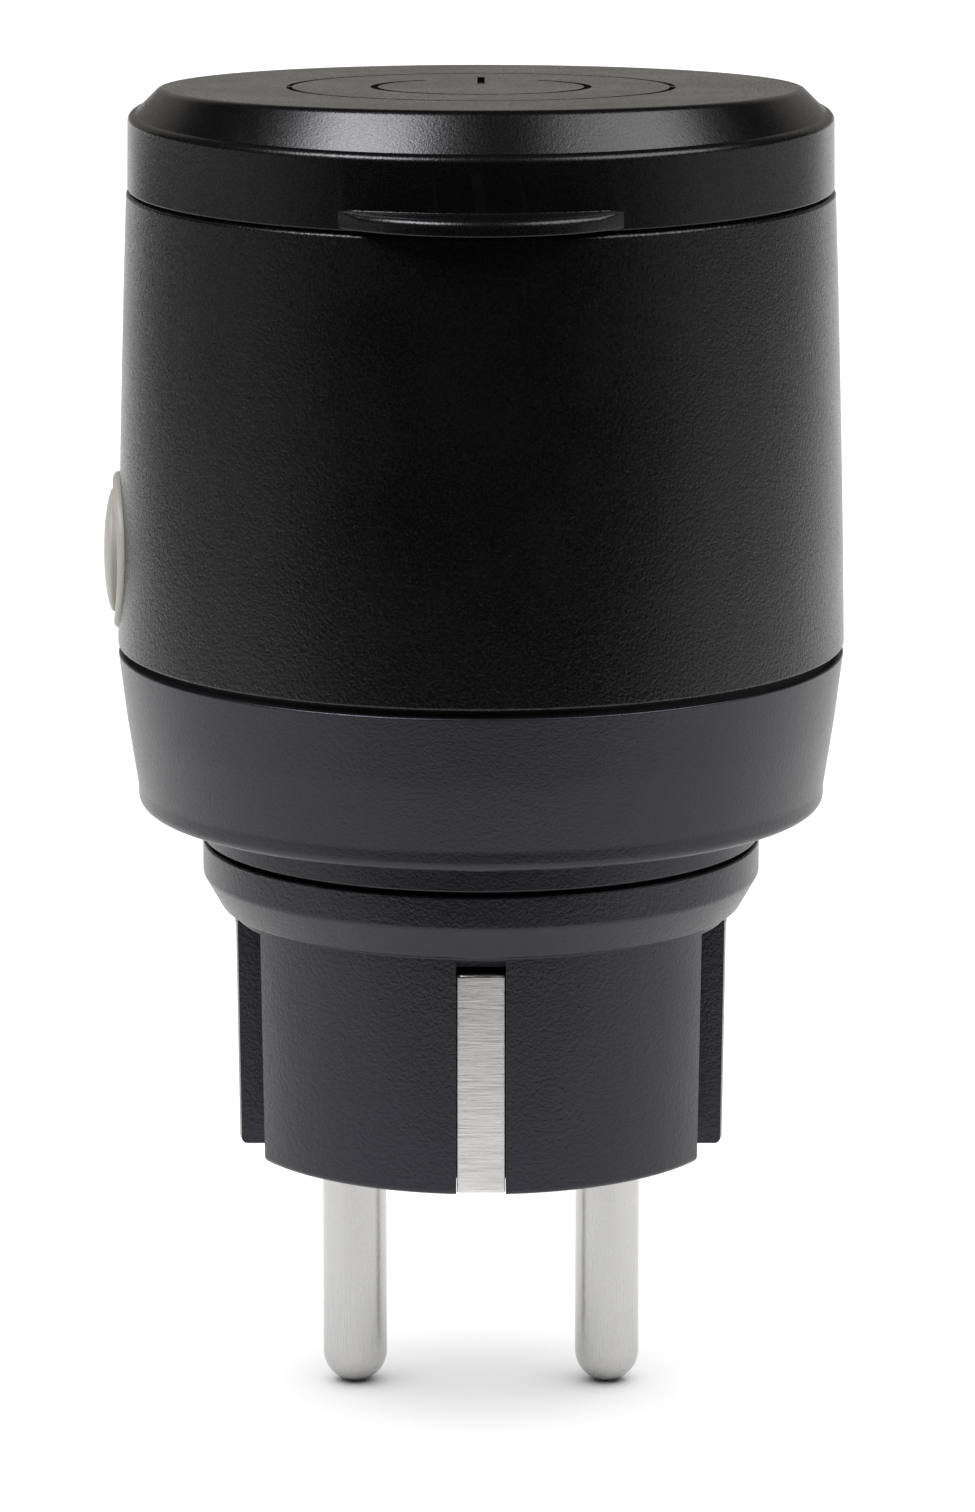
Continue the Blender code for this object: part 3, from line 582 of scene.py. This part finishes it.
def add_lip(bm):
    """The finger lip, a crescent in plan, with its front edges rounded."""
    sag = LIP_REACH - math.sqrt(LID_RADIUS**2 - LIP_HALF_WIDTH**2)
    radius = (LIP_HALF_WIDTH**2 + sag**2) / (2 * sag)
    spread = math.degrees(math.asin(LIP_HALF_WIDTH / radius))
    buried, wall, root = 24.8, 25.8, LIP_HIGH + 0.4
    loops = []
    for x, y in arc((0, radius - LIP_REACH), radius, 270 - spread, 270 + spread, 81):
        out = math.hypot(x, y)
        section = eased([
            (buried, LIP_LOW, 0), (out, LIP_LOW, 0.12), (out, LIP_HIGH, 0.5), (25.82, LIP_HIGH, 0.3),
            (wall, root, 0), (buried, root, 0),
        ], count=6)
        loops.append([(x * r / out, y * r / out, z) for r, z in section])
    add_loops(bm, loops, False, capped=True)


def ring_sector(radius, width, start, end, count):
    """A curved bar of one width, as an outline."""
    outer = arc((0, 0), radius + width / 2, start, end, count)
    return outer + arc((0, 0), radius - width / 2, end, start, count)


def emblem(bm):
    """A plain on-off sign inside a ring, cut into the lid's top."""
    depth, line = 0.34, 0.55
    ring, sign = 14.0, 7.8                          # radii of the lines' middles
    bar_start, bar_end = 2.4, 9.9

    def cut(outline):
        add_prism(bm, outline, "Z", -depth, 1.0, lift=lambda x, y: lid_top(y))

    for half in (0, 180):
        cut(ring_sector(ring, line * 0.8, half + 1.2, half + 178.8, 81))
    cut(ring_sector(sign, line, 122, 418, 81))
    cut([(-line / 2, bar_start), (line / 2, bar_start), (line / 2, bar_end), (-line / 2, bar_end)])


def build_lid():
    lid = make("lid_shell", add_loops(bmesh.new(), sloped_loops(), False))
    extras = bmesh.new()
    add_lip(extras)
    arm = [
        (24.0, 71.75), (26.6, 71.75), (27.9, HINGE_Z), (HINGE_Y, 73.98), (27.2, 74.0),
        (25.1, 75.9), (24.0, 75.9),
    ]
    for side in (-1, 1):
        start, end = mirrored(side, *LID_KNUCKLES)
        add_prism(extras, arm, "X", start, end)
        add_hinge_rod(extras, KNUCKLE_RADIUS, start, end)
    combine(lid, extras, "UNION")
    bevel(lid, 0.16)
    bores = bmesh.new()
    add_hinge_rod(bores, HINGE_BORE, -10, 10)
    emblem(bores)
    combine(lid, bores, "DIFFERENCE")
    finish_piece(polish(lid), "lid", "lid", LID_SKIN)


# ---------------------------------------------------------------- seals
def build_seals():
    """The rubber rings under the lid, between barrel and base, and at the neck."""
    for name, node, body, corners in (
        ("lid_seal", "lid_gasket", "lid",
         [(22.5, 72.6, 0.2), (23.55, 72.6, 0.2), (23.4, 71.45, 0.5), (22.65, 71.45, 0.5)]),
        ("body_seal", "body_gasket", "housing",
         [(25.4, 38.4, 0.3), (26.15, 38.4, 0.3), (26.15, 36.6, 0.3), (25.4, 36.6, 0.3)]),
        ("neck_seal", "neck_gasket", "housing",
         [(18.9, 23.6, 0.3), (20.0, 23.6, 0.3), (20.0, 22.5, 0.3), (18.9, 22.5, 0.3)]),
    ):
        section = eased(corners, closed=True, count=3)
        ring = make(name, add_turned(bmesh.new(), section, closed=True))
        finish_piece(polish(ring), body, node, SEAL)


# ---------------------------------------------------------------- barrel
def build_barrel():
    """A slightly tapered tube with an inner rim, four screw bosses, a button hole and knuckles."""
    top, ledge = LID_BOTTOM - 0.2, 69.2
    rim, rebate = 22.0, 26.45
    foot, rebate_top = 37.75, 38.7
    profile = eased([
        (rim, top, 0.15), (25.96, top, 0.28), (26.2, 64.5, 60), (26.5, 54.5, 60), (26.73, 45.5, 60),
        (26.87, foot, 0.2), (rebate, foot, 0), (rebate, rebate_top, 0), (24.9, rebate_top, 0.1),
        (24.25, 58.0, 0), (23.95, ledge, 0), (rim, ledge, 0.15),
    ], closed=True)
    barrel = make("barrel_shell", add_turned(bmesh.new(), profile, closed=True))
    extras = bmesh.new()
    boss_radius, boss_low, boss_high = 2.4, 36.6, 50.2
    add_four_rods(extras, boss_radius, HOUSING_SCREW, boss_low, boss_high, 32)
    web = [
        (24.7, 63.5), (30.02, 71.2), (30.08, HINGE_Z), (27.9, 72.3), (25.95, 70.95), (24.7, 70.95),
    ]
    for side in (-1, 1):
        start, end = mirrored(side, *BARREL_KNUCKLES)
        add_prism(extras, web, "X", start, end)
        add_hinge_rod(extras, KNUCKLE_RADIUS, start, end)
    combine(barrel, extras, "UNION")
    bores = bmesh.new()
    add_four_rods(bores, SCREW_BORE, HOUSING_SCREW, 36, 47, 24)
    button_hole = 6.0
    add_rod(bores, button_hole, (-29, 0, BUTTON_Z), (-20, 0, BUTTON_Z), 96)
    add_hinge_rod(bores, HINGE_BORE, -6, 6, 32)
    combine(barrel, bores, "DIFFERENCE")
    bevel(barrel, 0.14)
    finish_piece(polish(barrel), "housing", "barrel_housing", BARREL_SKIN)


# ---------------------------------------------------------------- base
def build_base():
    """The lower band with its neck, four screw bosses and two board posts."""
    top, step_up, step_radius = 36.3, 37.2, 26.45
    under, inner_floor = 25.7, 27.5
    neck, neck_foot = 20.7, 23.2
    groove, groove_top, groove_inside = 20.2, 23.9, 18.8
    opening = 14.6
    profile = eased([
        (24.2, top, 0), (step_radius, top, 0), (step_radius, step_up, 0), (26.84, step_up, 0.14),
        (26.22, 32.2, 40), (25.45, 27.2, 3), (25.4, under, 1.2), (neck, under, 0.3),
        (neck, neck_foot, 0.15), (groove, neck_foot, 0), (groove, groove_top, 0),
        (groove_inside, groove_top, 0), (groove_inside, under, 0), (opening, under, 0.1),
        (opening, inner_floor, 0.1), (23.0, inner_floor, 0.4), (23.5, 28.2, 0),
    ], closed=True, count=6)
    base = make("base_shell", add_turned(bmesh.new(), profile, closed=True))
    extras = bmesh.new()
    boss_radius, post_radius, post_x = 2.0, 1.2, 19.0
    add_four_rods(extras, boss_radius, HOUSING_SCREW, 27.0, top, 32)
    for x in (-post_x, post_x):
        add_rod(extras, post_radius, (x, 0, 27.0), (x, 0, 29.3), 24)
    combine(base, extras, "UNION")
    bores = bmesh.new()
    head_bore, plug_bore = 1.6, 1.05
    add_four_rods(bores, SCREW_BORE, HOUSING_SCREW, 25, 37, 24)
    add_four_rods(bores, head_bore, HOUSING_SCREW, 25, 28, 48)
    add_four_rods(bores, plug_bore, PLUG_SCREW, 25, 28, 24)
    combine(base, bores, "DIFFERENCE")
    finish_piece(polish(base), "housing", "base_housing", BASE_SKIN)


# ---------------------------------------------------------------- plug
def clipped_disc(radius, half_width, count=41):
    """A disc's outline with its sides cut flat at half_width in X."""
    edge = math.degrees(math.acos(half_width / radius))
    back = arc((0, 0), radius, edge, 180 - edge, count)
    return back + arc((0, 0), radius, 180 + edge, 360 - edge, count)


def build_plug():
    """The round plug: a hollow cup with pin bores, guide grooves and channels for the strips."""
    top, flange, flange_top = 25.4, 20.7, 22.9
    collar, seal_seat, seal_wall = 18.5, 22.2, 20.2
    profile = eased([
        (0, top, 0), (collar, top, 0.3), (collar, seal_seat, 0), (seal_wall, seal_seat, 0),
        (seal_wall, flange_top, 0), (flange, flange_top, 0.2), (flange, 20.45, 0.7),
        (19.3, 18.0, 0.4), (18.38, 17.88, 0.25), (18.15, 0, 0.4), (0, 0, 0),
    ])
    plug = make("plug_shell", add_turned(bmesh.new(), profile))
    cuts = bmesh.new()
    cavity_floor, past_top = 3.0, 26
    add_prism(cuts, clipped_disc(14.9, 12.9), "Z", cavity_floor, past_top)
    combine(plug, cuts, "DIFFERENCE")
    cuts = bmesh.new()
    below, outside = -1.0, 20.0                     # past the plug's face and wall
    pin_bore = 2.6
    channels = (                                    # near and far in Y, low and high in Z
        (16.8, outside, below, 17.6),
        (13.2, outside, below, 1.5),
        (13.6, 17.2, 15.4, 16.8),
    )
    for side in (-1, 1):
        start, end = mirrored(side, 14.5, outside)
        for flank in (-1, 1):
            low, high = mirrored(flank, 3.25, 8.6)
            add_box(cuts, (start, low, below), (end, high, 17.3))
        start, end = mirrored(side, 15.9, outside)
        add_box(cuts, (start, -2.2, below), (end, 2.2, 16.6))
        add_rod(cuts, pin_bore, (side * PIN_X, 0, below), (side * PIN_X, 0, cavity_floor + 1))
        for near, far, low, high in channels:
            start, end = mirrored(side, near, far)
            add_box(cuts, (-1.8, start, low), (1.8, end, high))
    add_four_rods(cuts, SCREW_BORE, PLUG_SCREW, 15.5, past_top, 24)
    combine(plug, cuts, "DIFFERENCE")
    bevel(plug, 0.16)
    finish_piece(polish(plug), "housing", "plug_body", PLUG_SKIN)


def build_pins():
    """Round pins with a domed tip, a collar inside the plug and a thinner tail."""
    radius, collar, tail = 2.4, 3.0, 1.9
    tip, collar_low, collar_high, tail_top = PIN_LOW.z, 3.3, 5.0, 19.5
    profile = eased([
        (0, tail_top, 0), (tail, tail_top, 0.3), (tail, collar_high, 0), (collar, collar_high, 0.2),
        (collar, collar_low, 0.2), (radius, collar_low, 0), (radius, 0, 0), (radius, tip, radius),
        (0, tip, 0),
    ], count=14)
    for node, x in (("pin_live", -PIN_X), ("pin_neutral", PIN_X)):
        pin = make(node + "_turned", add_turned(bmesh.new(), profile, SMALL_STEPS, centre=(x, 0)))
        finish_piece(polish(pin), "housing", node, PIN_METAL_PAINTED_SHADE)


def build_strips():
    """The earth strips on the plug and the sprung earth clips in the socket, as bent sheet."""
    strip = [(13.9, 0.5), (17.45, 0.5), (17.45, 16.1), (13.4, 16.1), (13.4, 27.7)]
    clip = [
        (12.4, 28.4, 0), (CLIP_Y, 28.4, 0.8), (CLIP_Y, 57.5, 4), (17.6, 60.5, 4), (16.6, 63.6, 2.2),
        (17.1, 65.2, 2), (18.3, 67.6, 0),
    ]
    fold = 0.28
    folded = eased([(y, z, fold) for y, z in strip_outline(strip, SHEET)], closed=True, count=5)
    sprung = strip_outline(eased(clip, count=6), SHEET)
    for tag, side in (("front", -1), ("rear", 1)):
        for node, outline, width, metal in (
            (f"earth_strip_{tag}", folded, 3.5, STRIP_METAL),
            (f"earth_clip_{tag}", sprung, 4.0, CLIP_METAL),
        ):
            bm = bmesh.new()
            add_prism(bm, [(side * y, z) for y, z in outline], "X", -width / 2, width / 2)
            piece = bevel(make(node + "_bent", bm), 0.08)
            finish_piece(polish(piece), "housing", node, metal)


# ---------------------------------------------------------------- button
def build_button():
    """The silicone ring, whose face follows the barrel, and the domed cap inside it."""
    bore, outer, flange = 4.85, 5.8, 6.7
    back, flange_face = 22.6, 23.4
    section = eased([
        (bore, back, 0), (bore, BEZEL_FACE, 0.42), (outer, BEZEL_FACE, 0.42),
        (outer, flange_face, 0), (flange, flange_face, 0.1), (flange, back, 0.1),
    ], closed=True, count=8)
    straight, bent = 24.5, 26.0                     # the ring follows the barrel fully past bent
    loops = []
    for radius, out in section:
        share = min(1.0, max(0.0, (out - straight) / (bent - straight)))
        loop = []
        for step in range(STEPS):
            turn = math.tau * step / STEPS
            y, z = radius * math.cos(turn), radius * math.sin(turn)
            fall = BEZEL_FACE - math.sqrt(BEZEL_FACE**2 - y**2)
            loop.append((share * fall - out, y, BUTTON_Z + z))
        loops.append(loop)
    bezel = make("button_ring", add_loops(bmesh.new(), loops, True))
    finish_piece(polish(bezel), "housing", "button_bezel", SILICONE)
    cap_radius, foot_radius, hollow, stem = 4.6, 5.6, 3.4, 1.4
    foot, foot_top, hollow_top = 21.7, 22.3, 25.6
    profile = eased([
        (0, CAP_FACE, 0), (2.2, CAP_FACE - 0.09, 9), (3.7, CAP_FACE - 0.3, 7),
        (cap_radius, CAP_FACE - 0.6, 0.3), (cap_radius, foot_top, 0), (foot_radius, foot_top, 0.15),
        (foot_radius, foot, 0.15), (hollow, foot, 0), (hollow, hollow_top, 0.4),
        (stem, hollow_top, 0.4), (stem, foot, 0.2), (0, foot, 0),
    ], count=8)
    cap = make("button_dome", add_turned(bmesh.new(), profile, 128, upright=False))
    finish_piece(polish(cap), "button", "button_cap", SILICONE)


# ---------------------------------------------------------------- hinge pin and springs
def build_hinge_pin():
    low, high = HINGE_PIN_LOW.x, HINGE_PIN_HIGH.x
    pin_radius, steps = 0.75, 48
    loops = []
    for radius, x in eased([(0, high, 0), (pin_radius, high, 0.2), (pin_radius, low, 0.2), (0, low, 0)]):
        loop = []
        for step in range(steps if radius > 1e-6 else 1):
            turn = math.tau * step / steps
            loop.append((x, HINGE_Y + radius * math.cos(turn), HINGE_Z + radius * math.sin(turn)))
        loops.append(loop)
    pin = make("hinge_rod", add_loops(bmesh.new(), loops, False))
    finish_piece(polish(pin), "housing", "hinge_pin", STEEL)


def wire(name, points, radius):
    """A round wire along points, as a curve object."""
    curve = bpy.data.curves.new(name, "CURVE")
    curve.dimensions = "3D"
    curve.bevel_depth = radius * MM
    curve.bevel_resolution = 3
    curve.use_fill_caps = True
    spline = curve.splines.new("POLY")
    spline.points.add(len(points) - 1)
    for slot, point in zip(spline.points, points):
        slot.co = (*(Vector(point) * MM), 1.0)
    obj = bpy.data.objects.new(name, curve)
    bpy.context.scene.collection.objects.link(obj)
    return obj


def as_mesh(obj):
    """A curve made into a mesh object of the same name."""
    graph = bpy.context.evaluated_depsgraph_get()
    mesh = bpy.data.meshes.new_from_object(obj.evaluated_get(graph))
    name = obj.name
    bpy.data.objects.remove(obj)
    made = bpy.data.objects.new(name, mesh)
    bpy.context.scene.collection.objects.link(made)
    bm = bmesh.new()
    bm.from_mesh(mesh)
    bmesh.ops.remove_doubles(bm, verts=bm.verts, dist=1e-6)
    bm.to_mesh(mesh)
    bm.free()
    mesh.materials.clear()
    return made


def build_hinge_spring():
    """A coil round the hinge pin, with a leg on the barrel and a leg under the lid."""
    radius, half_length, turns, steps = 1.45, 2.3, 5, 36
    barrel_leg, lid_leg = 3.2, 2.6
    points = [(-half_length, HINGE_Y - radius, HINGE_Z - barrel_leg)]
    count = turns * steps
    for step in range(count + 1):
        turn = math.pi + math.tau * turns * step / count
        x = -half_length + 2 * half_length * step / count
        points.append((x, HINGE_Y + radius * math.cos(turn), HINGE_Z + radius * math.sin(turn)))
    points.append((half_length, HINGE_Y - radius, HINGE_Z + lid_leg))
    spring = polish(as_mesh(wire("hinge_coil", points, 0.2)), 60)
    spring.data.materials.append(STEEL)
    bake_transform(spring)
    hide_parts("hinge_spring")


def build_shutter_spring():
    """Three flat turns under the shutter."""
    radius, low, rise, turns, steps = 2.6, 47.45, 1.1, 3, 36
    count = turns * steps
    points = []
    for step in range(count + 1):
        turn = math.tau * turns * step / count
        z = low + rise * step / count
        points.append((radius * math.cos(turn), radius * math.sin(turn), z))
    spring = polish(as_mesh(wire("shutter_coil", points, 0.14)), 60)
    spring.data.materials.append(STEEL)
    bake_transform(spring)
    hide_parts("shutter_spring")


# ---------------------------------------------------------------- socket
def build_socket():
    """The socket's cup: guide noses, flared pin holes, slots for the clips and two screw bosses."""
    floor, under, rim = 53.5, 51.3, SOCKET_RIM
    inside, wall = 19.75, 21.7
    flange, flange_low, flange_high = 23.6, 66.9, 68.9
    profile = eased([
        (0, floor, 0), (inside, floor, 0.5), (inside, rim - 0.6, 0.2), (20.35, rim, 0.2),
        (wall, rim, 0.25), (wall, flange_high, 0), (flange, flange_high, 0.15),
        (flange, flange_low, 0.15), (wall, flange_low, 0), (wall, under, 1.2), (0, under, 0),
    ])
    socket = make("socket_cup", add_turned(bmesh.new(), profile))
    extras = bmesh.new()
    nose_half_width, nose_low, nose_high = 1.8, 53.0, 69.6
    for side in (-1, 1):
        start, end = mirrored(side, 16.6, 20.6)
        add_box(extras, (start, -nose_half_width, nose_low), (end, nose_half_width, nose_high))
        x = side * CARRIER_SCREW
        add_rod(extras, 1.9, (x, -x, 49.2), (x, -x, 52.0), 32)
    combine(socket, extras, "UNION")
    cuts = bmesh.new()
    pin_hole = [(0, 55), (5.5, 55), (4.0, floor), (3.0, 52.6), (3.0, 50), (0, 50)]
    for side in (-1, 1):
        x = side * CARRIER_SCREW
        add_turned(cuts, pin_hole, SMALL_STEPS, centre=(side * PIN_X, 0))
        start, end = mirrored(side, CLIP_Y - 0.8, CLIP_Y + 0.8)
        add_box(cuts, (-2.4, start, 50), (2.4, end, 55))
        add_rod(cuts, 0.9, (x, -x, 48), (x, -x, 52.2), 24)
    combine(socket, cuts, "DIFFERENCE")
    bevel(socket, 0.2)
    finish_piece(polish(socket), "housing", "socket_insert", SOCKET_SKIN)


def build_shutter():
    """A turning bar over the pin holes, with a hub and a ramp for each pin."""
    reach, half_width = SHUTTER_HIGH.x, 3.4
    edge = math.degrees(math.asin(half_width / reach))
    outline = arc((0, 0), reach, -edge, edge, 17) + arc((0, 0), reach, 180 - edge, 180 + edge, 17)
    bm = bmesh.new()
    add_prism(bm, outline, "Z", SHUTTER_LOW.z, SHUTTER_HIGH.z)
    shutter = make("shutter_bar", bm)
    hub = bmesh.new()
    hub_radius, hub_bore = 4.6, 1.6
    add_rod(hub, hub_radius, (0, 0, SHUTTER_LOW.z), (0, 0, SHUTTER_HIGH.z))
    combine(shutter, hub, "UNION")
    cuts = bmesh.new()
    for side in (-1, 1):
        start, end = mirrored(side, 6.0, 14.0)
        ramp = [(-side * 3.6, 50.1), (-side * 3.6, 51.4), (side * 2.0, 51.4), (side * 1.2, 50.98)]
        add_prism(cuts, ramp, "X", start, end)
    add_rod(cuts, hub_bore, (0, 0, 48), (0, 0, 52))
    combine(shutter, cuts, "DIFFERENCE")
    finish_piece(polish(bevel(shutter, 0.12)), "shutter", "shutter", WHITE_PLASTIC)


# ---------------------------------------------------------------- screws
# shank radius and head height of each kind
SCREW_SIZES = {"housing": (0.8, 1.6), "plug": (0.75, 1.4), "carrier": (0.65, 1.3)}
PITCH = 0.7
ROOT_SHARE = 0.76                                   # the thread's root over the shank's radius


def build_screw(node):
    """A pan-head screw with a cross recess, in its CAD node's box. Only the plug screws point down."""
    low, high = span(node)
    centre = ((low.x + high.x) / 2, (low.y + high.y) / 2)
    head_radius = (high.x - low.x) / 2
    kind = node.split("_")[0]
    head_up = kind == "plug"
    shank, head_height = SCREW_SIZES[kind]
    tip, crown = (low.z, high.z) if head_up else (high.z, low.z)
    way = 1 if head_up else -1
    corners = [(0, crown, 0), (head_radius, crown, 0.4), (head_radius, crown - way * head_height, 0.1)]
    corners.append((shank, crown - way * head_height, 0))
    along = head_height + 0.6
    length = abs(crown - tip)
    while along < length - 1.2:
        corners.append((shank, crown - way * along, 0))
        corners.append((shank * ROOT_SHARE, crown - way * (along + PITCH / 2), 0))
        along += PITCH
    corners += [(shank, crown - way * (length - 0.6), 0), (0, tip, 0)]
    screw = make(node + "_cut", add_turned(bmesh.new(), eased(corners), 32, centre=centre))
    cross = bmesh.new()
    reach, slot, depth = head_radius * 0.62, head_radius * 0.13, head_height * 0.5
    ends = sorted((crown - way * depth, crown + way * 0.5))
    plus = [(reach, -slot), (reach, slot), (slot, slot), (slot, reach), (-slot, reach), (-slot, slot),
            (-reach, slot), (-reach, -slot), (-slot, -slot), (-slot, -reach), (slot, -reach), (slot, -slot)]
    add_prism(cross, [(centre[0] + a, centre[1] + b) for a, b in plus], "Z", *ends)
    combine(screw, cross, "DIFFERENCE")
    finish_piece(polish(screw), "housing", node, STEEL)


# ---------------------------------------------------------------- CAD nodes that are shown as they are
KEPT = {
    "pin_clamp": WHITE_PLASTIC, "contact_carrier": WHITE_PLASTIC, "switch_stem": WHITE_PLASTIC,
    "busbar_live": BRASS, "busbar_neutral": BRASS, "contact_live": BRASS, "contact_neutral": BRASS,
    "earth_link": CLIP_METAL, "main_board": LAMINATE, "radio_board": LAMINATE, "switch_board": LAMINATE,
    "relay": RELAY_BLUE, "capacitor": SLEEVE, "transformer": FERRITE, "choke": FERRITE,
    "fuse": CERAMIC, "varistor": VARISTOR_BLUE, "bridge_rectifier": DARK_PLASTIC, "radio_shield": STEEL,
    "tact_switch": DARK_PLASTIC, "status_led": LENS,
}


def dress_kept_nodes():
    """Give the CAD nodes that have no finer mesh their materials."""
    for node, material in KEPT.items():
        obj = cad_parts[node]
        obj.data.materials.clear()
        obj.data.materials.append(material)


# ---------------------------------------------------------------- studio
def grey(value):
    return (value, value, value)


def build_floor():
    """A pale floor just under the pins' tips."""
    side, gap = 8.0, 0.00002
    bpy.ops.mesh.primitive_plane_add(size=side, location=(0, 0, cad_low.z - gap))
    floor = bpy.context.object
    floor.name = "floor"
    s = Shader("floor_paper", grey(0.86), 0.9)
    s.put(s.surface, "Base Color", s.blend_colours(s.noise(220.0, 2.0), grey(0.855), grey(0.865)))
    floor.data.materials.append(s.material)
    return floor


def build_flag(name, left, right, near, far):
    """A black cloth 1 mm over the floor, unseen by the camera but reflected by the plug.

    It keeps the bright floor's light off the plug. The sizes are in millimetres.
    """
    middle = ((left + right) / 2 * MM, (near + far) / 2 * MM, cad_low.z + MM)
    bpy.ops.mesh.primitive_plane_add(size=1.0, location=middle)
    cloth = bpy.context.object
    cloth.name = name
    cloth.scale = ((right - left) * MM, (far - near) * MM, 1)
    s = Shader(name + "_cloth", grey(0.004), 1.0, Specular_IOR_Level=0.0)
    s.put(s.surface, "Normal", s.bump(s.noise(1.0), 0.1))
    cloth.data.materials.append(s.material)
    cloth.visible_camera = False
    cloth.visible_shadow = False


def softbox(name, bearing, elevation, distance, width, height, radiance, target):
    """A lit panel that faces the target, with its distance and sizes in metres.

    The bearing is in degrees from the camera's side, positive to the right, and the elevation in
    degrees over the floor.
    """
    light = bpy.data.lights.new(name, "AREA")
    light.shape = "RECTANGLE"
    light.size, light.size_y = width, height
    light.energy = radiance * math.pi * width * height
    obj = bpy.data.objects.new(name, light)
    bpy.context.scene.collection.objects.link(obj)
    b, e = math.radians(bearing), math.radians(elevation)
    way = Vector((math.sin(b) * math.cos(e), -math.cos(b) * math.cos(e), math.sin(e)))
    obj.location = target + way * distance
    obj.rotation_euler = (-way).to_track_quat("-Z", "Y").to_euler()
    obj.visible_camera = False
    return obj


def build_studio():
    """Panels light everything but the floor, and two wide suns light the floor alone."""
    floor = build_floor()
    build_flag("front_flag", -900, 900, -1000, -135)
    build_flag("far_flag", -4000, 4000, -4000, -1000)
    build_flag("left_flag", -900, -300, -134, 700)
    build_flag("right_flag", 420, 900, -134, 700)
    middle = Vector((0, 0, 0.045))
    boxes = [
        softbox("key_left", -50, 46.5, 1.1, 0.62, 0.45, 17.0, middle),
        softbox("key_right", 62, 40.5, 1.1, 0.85, 0.6, 6.0, middle),
        softbox("rear_panel", 180, 16, 1.4, 2.4, 1.0, 0.32, middle),
    ]
    boxes[0].data.color = (0.97, 0.95, 1.0)
    boxes[2].data.color = (1.0, 0.95, 0.88)
    floor_only = bpy.data.collections.new("floor_only")
    floor_only.objects.link(floor)
    pins = bpy.data.collections.new("pins_only")
    for name in ("pin_live_turned", "pin_neutral_turned"):
        pins.objects.link(bpy.data.objects[name])
    for name, strength in (("floor_wash", 4.0), ("floor_shade", 1.0)):
        sun = bpy.data.lights.new(name, "SUN")
        sun.energy = strength
        sun.angle = math.radians(100)
        wash = bpy.data.objects.new(name, sun)
        bpy.context.scene.collection.objects.link(wash)
        wash.light_linking.receiver_collection = floor_only
        if name == "floor_wash":
            wash.light_linking.blocker_collection = pins
    but_floor = bpy.data.collections.new("all_but_floor")
    but_floor.objects.link(floor)
    but_floor.collection_objects[0].light_linking.link_state = "EXCLUDE"
    for box in boxes:
        box.light_linking.receiver_collection = but_floor

    build_world()


def build_world():
    """White where the camera sees it, and a dim even light for everything else."""
    dim, white, rgba_a, rgba_b, rgba_result = 0.032, 1.0, 6, 7, 2
    world = bpy.data.worlds.new("studio")
    bpy.context.scene.world = world
    world.use_nodes = True
    tree = world.node_tree
    sky = tree.nodes["Background"]
    seen = tree.nodes.new("ShaderNodeLightPath").outputs["Is Camera Ray"]
    mix = tree.nodes.new("ShaderNodeMix")
    mix.data_type = "RGBA"
    mix.inputs[rgba_a].default_value = (*grey(dim), 1.0)
    mix.inputs[rgba_b].default_value = (*grey(white), 1.0)
    tree.links.new(seen, mix.inputs[0])
    tree.links.new(mix.outputs[rgba_result], sky.inputs["Color"])
    sky.inputs["Strength"].default_value = 1.0


def build_camera():
    """A long lens a little above the plug."""
    tilt, reach, height = math.radians(11.93), 0.5515, 0.02888
    camera = bpy.data.cameras.new("camera")
    camera.lens = 176.6
    camera.sensor_width = 36.0
    camera.shift_x = 0.0043
    obj = bpy.data.objects.new("camera", camera)
    bpy.context.scene.collection.objects.link(obj)
    obj.location = (0, -reach * math.cos(tilt), height + reach * math.sin(tilt))
    obj.rotation_euler = (math.pi / 2 - tilt, 0, 0)
    bpy.context.scene.camera = obj


build_lid()
build_seals()
build_barrel()
build_base()
build_plug()
build_pins()
build_strips()
build_button()
build_hinge_pin()
build_hinge_spring()
build_shutter_spring()
build_socket()
build_shutter()
for screw_node in sorted(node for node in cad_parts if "_screw_" in node):
    build_screw(screw_node)
dress_kept_nodes()
build_studio()
build_camera()
bpy.context.scene.view_settings.view_transform = "Standard"
